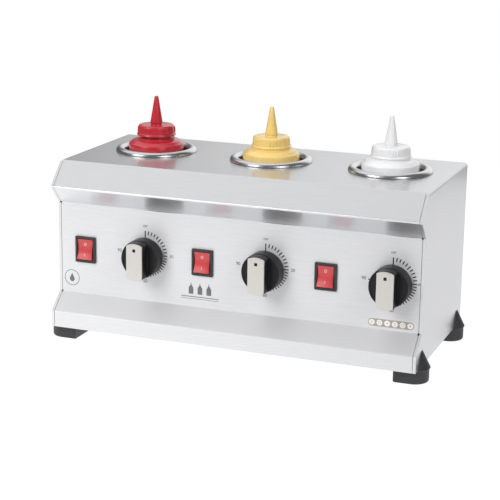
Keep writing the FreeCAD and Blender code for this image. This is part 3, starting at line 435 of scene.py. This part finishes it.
def polished_steel(name, color, roughness):
    """Spun and buffed metal: a faint pebbled bump and cloudy gloss."""
    material, tree, shader, place = start_material(name, color, roughness, 1.0)
    skin = use_group(tree, SKIN, place, Pebble=700.0, Depth=0.02)
    tree.links.new(spread(tree, skin.outputs["Patches"], roughness * 0.6, roughness * 1.6),
                   shader.inputs["Roughness"])
    tree.links.new(skin.outputs["Normal"], shader.inputs["Normal"])
    return material


def moulded(name, color, worn, low, high, pebble=1500.0, depth=0.08, edge=0.0006, amount=0.5,
            **sockets):
    """Moulded plastic or rubber: pebbled skin, patchy gloss and paler rubbed edges."""
    material, tree, shader, place = start_material(name, color, low, 0.0, **sockets)
    skin = use_group(tree, SKIN, place, Pebble=pebble, Depth=depth)
    edges = use_group(tree, EDGES, place, Width=edge, Amount=amount)
    tree.links.new(spread(tree, skin.outputs["Patches"], low, high), shader.inputs["Roughness"])
    tree.links.new(skin.outputs["Normal"], shader.inputs["Normal"])
    tree.links.new(blend_colors(tree, edges.outputs["Mask"], color, worn),
                   shader.inputs["Base Color"])
    return material


CASE_STRETCH = (40.0, 620.0, 620.0)
LOWER_FOLD_TOP = CASE_BOTTOM + 0.05
PATCH_SCALE, PATCH_GLOSS, LINE_SHADE = 9.0, 0.02, 0.80
END_LEAN, FOLD_LEAN, FRONT_LEAN = 0.7, 0.3, -0.97     # of the normal, along x, z and y
FRONT_DULL, FOLD_DULL = 0.18, 0.25                    # added roughness
# FOLD_PAINTED_SHADE is the darker colour of the lower fold, a painted shade
WIPED_METALLIC, FOLD_PAINTED_SHADE, CASE_STREAK = 0.45, (0.66, 0.66, 0.675), 0.75
STEEL = folded_steel("case_steel", (0.82, 0.822, 0.84), 0.20, 0.26, CASE_STRETCH, 0.02, 0.85)
INNER_STEEL = brushed_steel("inner_steel", (0.55, 0.55, 0.57), 0.35, 0.5, (40, 40, 900), 0.1)
SHAFT_STEEL = brushed_steel("shaft_steel", (0.62, 0.62, 0.63), 0.25, 0.35, (900, 60, 900), 0.1)
WELL_STEEL = polished_steel("well_steel", (0.76, 0.76, 0.77), 0.23)
SCREW_STEEL = polished_steel("screw_steel", (0.70, 0.70, 0.71), 0.22)
BRASS = polished_steel("brass", (0.78, 0.58, 0.26), 0.28)
COPPER = polished_steel("copper", (0.80, 0.42, 0.27), 0.25)
RUBBER = moulded("foot_rubber", (0.030, 0.030, 0.033), (0.10, 0.10, 0.105), 0.42, 0.62,
                 pebble=2200.0, depth=0.25, edge=0.0009, amount=0.6)
KNOB_BLACK = moulded("knob_black", (0.008, 0.008, 0.009), (0.04, 0.04, 0.042), 0.34, 0.44,
                     pebble=1800.0, depth=0.03, edge=0.0005, amount=0.4,
                     Specular_IOR_Level=0.35)
SWITCH_BLACK = moulded("switch_black", (0.022, 0.022, 0.025), (0.08, 0.08, 0.085), 0.2, 0.34,
                       pebble=1800.0, depth=0.04, edge=0.0005)
ROCKER_RED = moulded("rocker_red", (0.55, 0.055, 0.06), (0.72, 0.18, 0.18), 0.26, 0.36,
                     pebble=900.0, depth=0.02, Coat_Weight=0.25, Coat_Roughness=0.2,
                     Subsurface_Weight=0.25, Subsurface_Scale=0.002)
ROCKER_MARK = moulded("rocker_mark", (0.85, 0.62, 0.60), (0.9, 0.8, 0.8), 0.3, 0.4)
NYLON = moulded("white_nylon", (0.80, 0.80, 0.77), (0.9, 0.9, 0.88), 0.4, 0.55)
BLACK_NYLON = moulded("black_nylon", (0.025, 0.025, 0.026), (0.09, 0.09, 0.09), 0.4, 0.55)
PHENOLIC = moulded("thermostat_case", (0.66, 0.63, 0.56), (0.8, 0.78, 0.72), 0.45, 0.6)
SEAL = moulded("seal_rubber", (0.78, 0.78, 0.74), (0.9, 0.9, 0.88), 0.4, 0.5)
WIRES = {name: moulded("sleeve_" + name, color, tuple(min(1.0, c * 1.6) for c in color),
                       0.35, 0.5)
         for name, color in (("live", (0.20, 0.08, 0.035)), ("neutral", (0.04, 0.15, 0.48)),
                             ("earth", (0.24, 0.44, 0.07)))}
BOTTLE_COLORS = {"left": (0.54, 0.020, 0.036), "middle": (0.90, 0.64, 0.22),
                 "right": (0.86, 0.86, 0.87)}


def bottle_plastic(side):
    """Soft translucent squeeze plastic in one colour right through."""
    color = BOTTLE_COLORS[side]
    pale = tuple(min(1.0, c * 1.25 + 0.02) for c in color)
    return moulded("bottle_plastic_" + side, color, pale, 0.30, 0.40,
                   pebble=900.0, depth=0.005, amount=0.12,
                   Coat_Weight=0.7, Coat_Roughness=0.16, Coat_IOR=1.6,
                   Subsurface_Weight=0.2, Subsurface_Scale=0.003,
                   Subsurface_Radius=tuple(0.4 + 0.6 * c for c in color))


BOTTLE_PLASTIC = {side: bottle_plastic(side) for side in SIDES}


def satin_silver():
    """Lacquered satin face with an upright grain."""
    material, tree, shader, place = start_material("knob_silver", (0.70, 0.68, 0.64), 0.34, 0.75)
    grain = use_group(tree, GRAIN, place, Stretch=(1400.0, 40.0, 30.0), Depth=0.06)
    tree.links.new(spread(tree, grain.outputs["Lines"], 0.28, 0.42), shader.inputs["Roughness"])
    tree.links.new(grain.outputs["Normal"], shader.inputs["Normal"])
    tree.links.new(blend_colors(tree, grain.outputs["Lines"], (0.64, 0.62, 0.585),
                                (0.72, 0.70, 0.67)), shader.inputs["Base Color"])
    return material


def ink(name, color):
    """Screen-printed ink, slightly uneven where the sheet's grain shows through."""
    material, tree, shader, place = start_material(name, color, 0.6, Specular_IOR_Level=0.15)
    grain = use_group(tree, GRAIN, place, Stretch=(4.0, 900.0, 900.0), Depth=0.05)
    paler = tuple(min(1.0, c * 1.3 + 0.01) for c in color)
    tree.links.new(blend_colors(tree, grain.outputs["Lines"], color, paler),
                   shader.inputs["Base Color"])
    tree.links.new(grain.outputs["Normal"], shader.inputs["Normal"])
    return material


KNOB_SILVER = satin_silver()
INK_DARK = ink("ink_dark", (0.018, 0.016, 0.015))
INK_GREY = ink("ink_grey", (0.14, 0.14, 0.145))
INK_LABEL = ink("ink_label", (0.33, 0.29, 0.26))
INK_PALE = ink("ink_pale", (0.74, 0.72, 0.70))

# ---- finishes of the nodes that stay as they are -------------------------------------
KEPT = {
    "body_shell": STEEL, "back_panel": STEEL, "base_plate": STEEL,
    "panel_screws": SCREW_STEEL, "foot_screws": SCREW_STEEL, "foot_nuts": SCREW_STEEL,
    "thermostat_screws": SCREW_STEEL, "heater_clamp_screws": SCREW_STEEL,
    "switch_terminals": BRASS, "earth_stud": BRASS, "switch_lamps": ROCKER_MARK,
    "terminal_block": NYLON, "cable_gland": BLACK_NYLON, "gland_locknut": BLACK_NYLON,
    "wiring_live": WIRES["live"], "wiring_neutral": WIRES["neutral"],
    "wiring_earth": WIRES["earth"]}
for side in SIDES:
    KEPT["well_clip_" + side] = INNER_STEEL
    KEPT["band_heater_" + side] = INNER_STEEL
    KEPT["thermostat_" + side] = PHENOLIC
    KEPT["thermostat_shaft_" + side] = SHAFT_STEEL
    KEPT["capillary_" + side] = COPPER
    KEPT["cap_seal_" + side] = SEAL
    KEPT["switch_housing_" + side] = SWITCH_BLACK
for end in ("front", "rear"):
    for side in ("left", "right"):
        KEPT["foot_%s_%s" % (end, side)] = RUBBER
for node, finish in KEPT.items():
    NODES[node].material_slots[0].material = finish


# ---- wells ---------------------------------------------------------------------------
WELL_RADIUS, WELL_WALL, COLLAR_TUBE = 38.0, 1.0, 5.25
WELL_DEPTH = (PLATE_Z - CASE_BOTTOM) / MM - 20.0
WELL_BEND = 6.0                  # inside radius between wall and floor
COLLAR_LIFT = 0.35               # gap under the collar's rim


def make_well(side):
    """Spun pot: the wall goes down to a rounded floor and the rim rolls out and over."""
    centre = WELL_RADIUS + COLLAR_TUBE
    squash = (COLLAR_TUBE - COLLAR_LIFT) / COLLAR_TUBE
    thin = COLLAR_TUBE - WELL_WALL
    squash_in = (thin - COLLAR_LIFT) / thin
    bend = (WELL_RADIUS - WELL_BEND, -WELL_DEPTH + WELL_BEND)
    inner_floor = arc(*bend, WELL_BEND, 0, -90, 8)
    outer_floor = arc(*bend, WELL_BEND + WELL_WALL, -90, 0, 8)
    profile = join(arc(centre, COLLAR_LIFT, COLLAR_TUBE, 0, 180, 24, squash), inner_floor,
                   (0, -WELL_DEPTH), (0, -WELL_DEPTH - WELL_WALL), outer_floor,
                   arc(centre, COLLAR_LIFT, thin, 180, 0, 16, squash_in))
    piece = spin("well_skin_" + side, profile, upright(WELLS[side], PLATE_Z), "case",
                 WELL_STEEL, 160)
    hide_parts("well_" + side)


# ---- bottles and caps ----------------------------------------------------------------
BOTTLE_RADIUS, BOTTLE_WALL = 33.0, 1.2
NECK_RADIUS, NECK_BORE, NECK_TOP = 18.2, 17.0, 199.0


def make_bottle(side):
    """Squeeze bottle: straight body, waved shoulder, ring and beaded neck, one wall thick.
    The outline goes up the outside and comes down the inside, as (radius, height)."""
    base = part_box("bottle_" + side)[0].z
    body = rounded([(0, 0), (BOTTLE_RADIUS, 0), (BOTTLE_RADIUS, 100)], [0, 4, 0], 6,
                   closed=False)
    shoulder = rounded([(BOTTLE_RADIUS, 170), (BOTTLE_RADIUS, 183.2), (30.7, 184.6),
                        (28.6, 186.7), (24.0, 188.2), (22.7, 188.4), (22.6, 189.95),
                        (NECK_RADIUS, 189.95), (NECK_RADIUS, 193.4)],
                       [0, 2.3, 1.6, 2.6, 0.8, 0.3, 0.5, 0.3, 0], 6, closed=False)
    bead = arc(NECK_RADIUS, 194.6, 0.9, -90, 90, 6)
    outside = join(body, shoulder, bead, (NECK_RADIUS, 195.8), (NECK_RADIUS, NECK_TOP))
    bore = BOTTLE_RADIUS - BOTTLE_WALL
    inside = join((NECK_BORE, NECK_TOP), (NECK_BORE, 187.7), (23.3, 187.2), (29.8, 183.5),
                  (31.2, 182.2), rounded([(bore, 180.4), (bore, BOTTLE_WALL), (0, BOTTLE_WALL)],
                                         [0, 3, 0], 5, closed=False))
    piece = spin("bottle_skin_" + side, join(outside, inside), upright(WELLS[side], base),
                 "bottle_" + side, BOTTLE_PLASTIC[side], 128)
    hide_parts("bottle_" + side)


CAP_FOOT = 190.2                # rim's height in the profile below
CAP_RIB_GROUPS, CAP_RIBS, CAP_RIB_HEIGHT = 6, 3, 0.85
CAP_RIB_SHARE = 0.4             # of each sixth of a turn, the rest of it is plain
CAP_RIB_LOW, CAP_RIB_HIGH, CAP_RIB_FADE = 193.6, 200.6, 0.5
CAP_RIB_FROM = 20.5             # only rows outside this radius are on the skirt
CAP_TURN = {"left": math.radians(-38), "middle": math.radians(-66), "right": math.radians(-62)}


def cap_ribs(heights, first):
    """Added radius over turn t: in the middle of each sixth of a turn, three bumps of
    0.5 - 0.5 cos, and only on the rows of the straight skirt."""
    half = CAP_RIB_SHARE / 2

    def ripple(turn):
        place = ((turn - first) * CAP_RIB_GROUPS / (2 * np.pi) + 0.5) % 1.0 - 0.5
        bump = 0.5 - 0.5 * np.cos(2 * np.pi * (place + half) / CAP_RIB_SHARE * CAP_RIBS)
        rows = (np.clip((heights - CAP_RIB_LOW) / CAP_RIB_FADE, 0, 1)
                * np.clip((CAP_RIB_HIGH - heights) / CAP_RIB_FADE, 0, 1))
        return rows[:, None] * (bump * (np.abs(place) < half))[None, :] * CAP_RIB_HEIGHT
    return ripple


def make_cap(side):
    """Screw cap: flared rim, ribbed skirt, rounded top and a tall tapered nozzle."""
    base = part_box("cap_" + side)[0].z
    skirt = np.stack([np.linspace(22.0, 21.5, 14), np.linspace(193.4, 200.8, 14)], axis=1)
    rim = rounded([(19.7, CAP_FOOT), (23.0, CAP_FOOT), (23.45, 191.4), (22.9, 192.6),
                   (22.1, 193.1)], [0, 0.4, 0.8, 0.5, 0], 4, closed=False)
    profile = join(rim, skirt, arc(19.0, 200.4, 2.45, 6, 86, 8), (14.0, 202.88),
                   rounded([(10, 202.86), (6.75, 202.7), (6.7, 204.5), (7.5, 204.95),
                            (2.35, 236.0), (2.1, 236.8), (1.1, 236.8)],
                           [0, 0.5, 0.3, 0.35, 0.5, 0.35, 0], 4, closed=False),
                   (1.1, 236.6), (5.3, 203.2), (5.3, 201.1), (19.7, 201.1))
    profile[:, 1] -= CAP_FOOT
    skirt_heights = (profile[:, 1] + CAP_FOOT) * (profile[:, 0] > CAP_RIB_FROM)
    ribs = cap_ribs(skirt_heights, CAP_TURN[side])
    piece = spin("cap_skin_" + side, profile, upright(WELLS[side], base), "cap_" + side,
                 BOTTLE_PLASTIC[side], 480, ribs, 40.0)
    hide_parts("cap_" + side)


# ---- knobs ---------------------------------------------------------------------------
GRIP_HALF, GRIP_RADIUS = 10.0, 21.8
GRIP_FRONT, FACE_FRONT = 30.4, 31.6              # out from the panel
GRIP_CORNER, FACE_CORNER, FACE_INSET = 1.3, 1.2, 0.35


def grip_outline(half, radius, corner):
    """Bar with straight sides at +-half and round ends of the given radius."""
    end = math.degrees(math.acos(half / radius))
    top = arc(0, 0, radius, end, 180 - end, 14)
    bottom = arc(0, 0, radius, 180 + end, 360 - end, 14)
    corners = join(top, bottom)
    radii = np.zeros(len(corners))
    radii[[0, len(top) - 1, len(top), len(corners) - 1]] = corner
    return rounded(corners, radii, 4)


def make_skirt(side, place):
    """Skirt spun about the shaft, hollow behind, with a boss on the shaft."""
    skirt = rounded([(0, 1.5), (6.5, 1.5), (6.5, 13.7), (20.3, 13.7), (20.3, 1.2), (22.5, 1.2),
                     (22.4, 18.5), (20.0, 18.5), (19.6, 18.0), (0, 18.0)],
                    [0, 0.3, 0, 0, 0.2, 0.3, 1.7, 0.3, 0.2, 0], 6)
    piece = spin("knob_skirt_" + side, skirt, place, "knob_" + side, KNOB_BLACK,
                 144)
    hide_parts("knob_" + side)


def make_grip(side, place):
    """Bar grip standing on the skirt, flared at its foot along the straight sides only."""
    outline = grip_outline(GRIP_HALF, GRIP_RADIUS, GRIP_CORNER)
    weight = np.abs(outline_normals(outline)[:, 0:1]) ** 6
    steps = [(17.0, -0.9), (17.9, -0.9), (18.2, -0.6), (18.7, -0.3), (19.5, -0.1), (20.5, 0.0),
             (24.0, 0.0), (GRIP_FRONT - 0.7, 0.0), (GRIP_FRONT - 0.35, 0.1),
             (GRIP_FRONT - 0.1, 0.32), (GRIP_FRONT, 0.62), (GRIP_FRONT, 1.0)]
    carried("knob_grip_" + side, outline, steps, place, "knob_" + side,
            KNOB_BLACK, flare=weight)


def make_knob_face(side, place):
    """Silver plate on the grip, just inside its outline, with a small square mark."""
    face = grip_outline(GRIP_HALF - FACE_INSET, GRIP_RADIUS - FACE_INSET, FACE_CORNER)
    steps = [(GRIP_FRONT - 0.2, 0.0), (FACE_FRONT - 0.4, 0.0), (FACE_FRONT - 0.12, 0.12),
             (FACE_FRONT, 0.4), (FACE_FRONT, 0.8)]
    piece = carried("knob_face_skin_" + side, face, steps, place, "knob_" + side,
                    KNOB_SILVER)
    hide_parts("knob_face_" + side)
    square = rounded([(-1.8, 12.0), (1.8, 12.0), (1.8, 15.6), (-1.8, 15.6)], [0.3] * 4, 3)
    steps = [(FACE_FRONT - 0.3, 0.0), (FACE_FRONT, 0.0), (FACE_FRONT + 0.05, 0.12)]
    carried("knob_mark_" + side, square, steps, place, "knob_" + side, KNOB_BLACK)


def make_knob(side):
    place = on_panel(KNOBS[side], PANEL_Y)
    make_skirt(side, place)
    make_grip(side, place)
    make_knob_face(side, place)


# ---- rocker switches -----------------------------------------------------------------
PIVOT_Y = -83.2 * MM             # rocker's axis
ROCKER_TILT = math.radians(8.0)
# out from the axis: middle of the hollow face, its two ends and the back
DISH, REACH, ROCKER_BACK = 2.0, 4.3, -5.0
HALF_ROCKER, HALF_WIDTH = 11.7, 9.6
DISH_RADIUS = (HALF_ROCKER ** 2 + (REACH - DISH) ** 2) / (2 * (REACH - DISH))


def dished(up):
    """How far the rocker's hollow face stands out from the pivot at a height."""
    return DISH + DISH_RADIUS - np.sqrt(DISH_RADIUS ** 2 - up ** 2)


def on_rocker(side):
    """Places (out, up, across) about the pivot, tipped so that the upper end is in."""
    centre = SWITCHES[side]

    def place(out, up, across):
        far = out * math.cos(ROCKER_TILT) - up * math.sin(ROCKER_TILT)
        high = out * math.sin(ROCKER_TILT) + up * math.cos(ROCKER_TILT)
        return np.stack([centre.x + across * MM, PIVOT_Y - far * MM,
                         centre.z + high * MM], axis=-1)
    return place


def make_rocker(side):
    place = on_rocker(side)
    up = np.linspace(-HALF_ROCKER, HALF_ROCKER, 21)
    front = np.stack([dished(up), up], axis=1)
    radius = math.hypot(REACH, HALF_ROCKER)
    lift = math.degrees(math.atan2(HALF_ROCKER, REACH))
    tail = math.degrees(math.atan2(math.sqrt(radius ** 2 - ROCKER_BACK ** 2), ROCKER_BACK))
    outline = join(front, arc(0, 0, radius, lift + 3, tail, 8),
                   arc(0, 0, radius, -tail, -lift - 3, 8))
    half = HALF_WIDTH
    steps = [(-half, 0.7), (-half + 0.1, 0.35), (-half + 0.35, 0.1), (-half + 0.7, 0.0),
             (half - 0.7, 0.0), (half - 0.35, 0.1), (half - 0.1, 0.35), (half, 0.7)]
    piece = carried("rocker_skin_" + side, outline, steps, place, "rocker_" + side,
                    ROCKER_RED)
    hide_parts("rocker_" + side)
    make_rocker_marks(side, place)


def make_rocker_marks(side, place):
    """Moulded ring above and bar below, lying on the hollow face."""
    major, minor = np.meshgrid(np.linspace(0, 2 * np.pi, 32, endpoint=False),
                               np.linspace(0, 2 * np.pi, 8, endpoint=False), indexing="ij")
    ring_radius, bead = 1.25, 0.26
    across = (ring_radius + bead * np.cos(minor)) * np.cos(major)
    up = 6.2 + (ring_radius + bead * np.cos(minor)) * np.sin(major) * 1.15
    out = dished(up) + bead * 0.7 * np.sin(minor)
    piece = mesh_piece("rocker_ring_" + side, place(out, up, across),
                       grid_faces(32, 8, True, True), "rocker_" + side,
                       ROCKER_MARK)
    merge(piece)
    outline = rounded([(-0.28, -7.8), (0.28, -7.8), (0.28, -4.8), (-0.28, -4.8)], [0.24] * 4, 3)

    def laid(across, up, depth):
        return place(dished(up) + depth, up, across)
    carried("rocker_bar_" + side, outline, [(-0.15, 0.0), (0.12, 0.0), (0.2, 0.1)], laid,
            "rocker_" + side, ROCKER_MARK)


# ---- printing on the control panel ---------------------------------------------------
INK_DEPTH, INK_SUNK = 0.06, -0.02
LETTER_WIDTH, LETTER_WEIGHT = 0.92, 0.06


def flat_print(name, shapes, place, material):
    """Thin flat shapes: each outline is raised by the thickness of the ink."""
    points, faces, start = [], [], 0
    for outline in shapes:
        count = len(outline)
        for depth in (INK_SUNK, INK_DEPTH):
            points.append(place(outline[:, 0], outline[:, 1], np.full(count, depth)))
        faces += grid_faces(2, count, wrap_columns=True, start=start).tolist()
        faces.append(list(range(start, start + count)))
        faces.append(list(range(start + count, start + 2 * count)))
        start += 2 * count
    piece = mesh_piece(name, np.concatenate(points), faces, "case", material)
    merge(piece)
    return piece


def bar(u, v, width, height, turn=0.0):
    """Upright bar centred at (u, v), turned clockwise by an angle about the origin."""
    corners = np.array([(-width, -height), (width, -height), (width, height),
                        (-width, height)]) / 2 + (u, v)
    c, s = math.cos(turn), math.sin(turn)
    return corners @ np.array([(c, -s), (s, c)])


def ring_band(u, v, outer, inner, steps=28):
    """Ring as two half bands, so that each is one simple outline."""
    halves = []
    for start in (0, 180):
        halves.append(join(arc(u, v, outer, start, start + 180, steps),
                           arc(u, v, inner, start + 180, start, steps)))
    return halves


DIAL_RISE = 2.7                 # dial's centre above the knob's axis
DIAL_RADIUS = 27.5               # outer ends of the ticks
# (across, up, size); the right one is small, between the last mark and the seam
LABEL_30 = {"left": (32.6, 0, 5.6), "middle": (32.6, 0, 5.6), "right": (29.5, 0, 3.6)}


def make_dial(side):
    """Ticks every 9 degrees for the first quarter turn and every 7.5 degrees after it."""
    centre = KNOBS[side] + Vector((0, 0, DIAL_RISE * MM))
    place = on_panel(centre, PANEL_Y)
    angles = [9.0 * i for i in range(11)] + [90 + 7.5 * i for i in range(1, 25)]
    ticks = []
    for angle in angles:
        length = 8.0 if angle == 0 else 5.5 if angle in (45.0, 90.0, 180.0, 270.0) else 4.3
        ticks.append(bar(0, DIAL_RADIUS - length / 2, 1.3 if angle == 0 else 1.25, length,
                         math.radians(angle)))
    flat_print("dial_ticks_" + side, ticks, place, INK_DARK)
    for label, u, v, size, material in (("OFF", 0, 32.6, 3.6, INK_GREY),
                                        ("30", *LABEL_30[side], INK_GREY),
                                        ("60", 0, -32.4, 5.6, INK_GREY),
                                        ("90", -32.6, 1.0, 5.6, INK_GREY)):
        print_text("dial_%s_%s" % (label.lower(), side), label, u, v, size, place, material)


def print_text(name, words, u, v, size, place, material):
    """Lettering made a mesh first, then laid on the panel as thin ink."""
    curve = bpy.data.curves.new(name + "_curve", "FONT")
    curve.body = words
    curve.size = size
    curve.align_x = "CENTER"
    curve.align_y = "CENTER"
    curve.extrude = INK_DEPTH / 2
    curve.offset = LETTER_WEIGHT
    curve.resolution_u = 4
    shape = bpy.data.objects.new(name + "_shape", curve)
    mesh = bpy.data.meshes.new_from_object(shape)
    bpy.data.objects.remove(shape)
    bpy.data.curves.remove(curve)
    points = np.zeros(len(mesh.vertices) * 3)
    mesh.vertices.foreach_get("co", points)
    points = points.reshape(-1, 3)
    laid = place(points[:, 0] * LETTER_WIDTH + u, points[:, 1] + v, points[:, 2] + INK_DEPTH / 2)
    mesh.vertices.foreach_set("co", laid.ravel())
    mesh.update()
    mesh.name = name
    mesh.materials.clear()
    mesh.materials.append(material)
    piece = add_object(name, mesh)
    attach(piece, "case")


def bottle_mark(u, v, scale):
    """Plain outline of a squeeze bottle: body, shoulders and nozzle."""
    half = np.array([(3.0, 0), (3.0, 8.0), (1.6, 9.6), (1.6, 10.6), (0.7, 11.0), (0.3, 14.0)])
    other = half[::-1] * (-1, 1)
    return join(half, other) * scale + (u, v)


def make_panel_marks():
    """Generic marks: three bottles over a line, and a drop in a ring."""
    case = on_panel(Vector((0, 0, CASE_BOTTOM)), PANEL_Y)
    shapes = [bottle_mark(u, 53.0, 0.95) for u in (-52, -41, -30)]
    shapes += [bar(-41, 49.8, 46, 0.9), bar(-41, 47.4, 46, 0.5)]
    flat_print("panel_mark", shapes, case, INK_GREY)
    u, v = -203.5, 55.5
    drop = join(arc(u, v - 1.6, 3.2, -215, 35, 16), (u, v + 5.4))
    flat_print("panel_badge", ring_band(u, v, 9.6, 8.9) + [drop], case, INK_GREY)


def make_symbol_strip():
    """Rounded strip with six pale discs, each with a simple symbol."""
    case = on_panel(Vector((0, 0, CASE_BOTTOM)), PANEL_Y)
    left, right, v, half = 163.2, 206.8, 46.0, 4.3
    strip = join(arc(right, v, half, -90, 90, 12), arc(left, v, half, 90, 270, 12))
    flat_print("symbol_strip", [strip], case, INK_LABEL)
    discs, signs = [], []
    for i in range(6):
        u = left + (right - left) * i / 5
        discs.append(arc(u, v, 3.3, 0, 345, 23))
        if i % 3 == 0:
            signs += [bar(u, v - 0.9, 3.4, 0.5), bar(u, v + 0.9, 3.4, 0.5)]
        elif i % 3 == 1:
            signs += ring_band(u, v, 1.9, 1.4, 10)
        else:
            signs += [bar(u, v, 0.5, 3.6), bar(u, v, 3.6, 0.5)]
    flat_print("symbol_discs", discs, lifted(case, 0.05), INK_PALE)
    flat_print("symbol_signs", signs, lifted(case, 0.1), INK_LABEL)


for side in SIDES:
    make_well(side)
    make_bottle(side)
    make_cap(side)
    make_knob(side)
    make_rocker(side)
    make_dial(side)
make_panel_marks()
make_symbol_strip()


# ---- floor, light and camera ---------------------------------------------------------
FLOOR_RADIUS, FLOOR_SIDES, FLOOR_GLOW = 1.1, 96, 0.94
BASE_GLOW = 0.12
AIM = (0, 0, 0.1)
# (direction, full inside this angle, gone at this angle, strength)
STUDIO_PANELS = (((-0.35, 0.15, 0.92), 26, 46, 0.78), ((0.08, 0.96, 0.28), 12, 40, 0.90),
                 ((-0.48, -0.74, 0.46), 9, 20, 3.2), ((0.70, -0.60, 0.38), 8, 18, 2.8))
CAMERA_TURN = (20.4116, 14.6278, 0.8628)         # yaw, pitch and roll in degrees
CAMERA_PLACE = (0.5979, -1.6383, 0.5612)
CAMERA_LENS, SENSOR_WIDTH = 110.34, 36.0


def make_floor():
    """Round white table, points at (r cos t, r sin t): it glows evenly to the camera and, in
    reflections, is brighter at the left and very slightly brighter in front."""
    turn = np.linspace(0, 2 * np.pi, FLOOR_SIDES, endpoint=False)
    points = [(0.0, 0.0, 0.0)] + [(FLOOR_RADIUS * math.cos(t), FLOOR_RADIUS * math.sin(t), 0.0)
                                  for t in turn]
    faces = [(0, 1 + i, 1 + (i + 1) % FLOOR_SIDES) for i in range(FLOOR_SIDES)]
    mesh = bpy.data.meshes.new("floor")
    mesh.from_pydata(points, [], faces)
    floor = add_object("floor", mesh)
    material, tree, shader, place = start_material("floor_pale", (0.12, 0.12, 0.12), 0.9)
    shader.inputs["Emission Color"].default_value = (1.0, 1.0, 1.0, 1.0)
    along = axes(tree, place)
    across = ramp_value(tree, along[0], -0.5, 0.5, 1.06, 0.74)
    behind = ramp_value(tree, along[1], -0.1, 0.3, 1.03, 1.02)
    glow = unseen_by_camera(tree, math_node(tree, "MULTIPLY", across, behind), FLOOR_GLOW)
    tree.links.new(glow, shader.inputs["Emission Strength"])
    mesh.materials.append(material)


def unseen_by_camera(tree, value, plain):
    """The value, but plain where the camera looks straight at it."""
    seen = tree.nodes.new("ShaderNodeLightPath").outputs["Is Camera Ray"]
    return mix_node(tree, "VALUE", seen, value, plain)


def ramp_value(tree, value, start, end, low, high):
    """Smooth change from low to high as the value goes from start to end."""
    node = tree.nodes.new("ShaderNodeMapRange")
    node.interpolation_type = "SMOOTHSTEP"
    for label, number in (("From Min", start), ("From Max", end), ("To Min", low),
                          ("To Max", high)):
        node.inputs[label].default_value = number
    tree.links.new(value, node.inputs["Value"])
    return node.outputs["Result"]


def make_world():
    """Dim studio with soft panels: each is a patch of sky round a direction, full inside the
    first angle and gone at the second. The camera sees plain white behind the object."""
    world = bpy.data.worlds.new("studio")
    bpy.context.scene.world = world
    world.use_nodes = True
    tree = world.node_tree
    background = tree.nodes["Background"]
    place = tree.nodes.new("ShaderNodeTexCoord").outputs["Generated"]
    total = BASE_GLOW
    for direction, inner, outer, strength in STUDIO_PANELS:
        aim = tuple(Vector(direction).normalized())
        facing = vector_node(tree, "DOT_PRODUCT", place, aim)
        panel = ramp_value(tree, facing, math.cos(math.radians(outer)),
                           math.cos(math.radians(inner)), 0.0, strength)
        total = math_node(tree, "ADD", panel, total)
    tree.links.new(unseen_by_camera(tree, total, 1.0), background.inputs["Strength"])
    background.inputs["Color"].default_value = (1.0, 1.0, 1.0, 1.0)


def soft_light(name, place, size, power):
    """Rectangular lamp aimed at AIM, kept out of the reflections."""
    light = bpy.data.lights.new(name, "AREA")
    light.shape = "RECTANGLE"
    light.size, light.size_y = size
    light.energy = power
    lamp = add_object(name, light)
    lamp.location = place
    lamp.rotation_euler = (Vector(AIM) - Vector(place)).to_track_quat("-Z", "Y").to_euler()
    lamp.visible_glossy = False


def make_camera():
    """Long lens, above and to the right of the front."""
    yaw, pitch, roll = (math.radians(a) for a in CAMERA_TURN)
    ahead = Vector((-math.sin(yaw) * math.cos(pitch), math.cos(yaw) * math.cos(pitch),
                    -math.sin(pitch)))
    level = Vector((math.cos(yaw), math.sin(yaw), 0))
    upward = level.cross(ahead)
    right = level * math.cos(roll) + upward * math.sin(roll)
    top = upward * math.cos(roll) - level * math.sin(roll)
    camera = add_object("camera", bpy.data.cameras.new("camera"))
    turn = Matrix((right, top, -ahead)).transposed().to_4x4()
    turn.translation = Vector(CAMERA_PLACE)
    camera.matrix_world = turn
    camera.data.lens = CAMERA_LENS
    camera.data.sensor_width = SENSOR_WIDTH
    bpy.context.scene.camera = camera


make_floor()
make_world()
soft_light("key", (-1.0, -1.8, 1.6), (1.6, 1.2), 31)
soft_light("fill", (1.8, -0.6, 1.2), (1.2, 1.2), 13)
make_camera()
bpy.context.scene.view_settings.view_transform = "Standard"
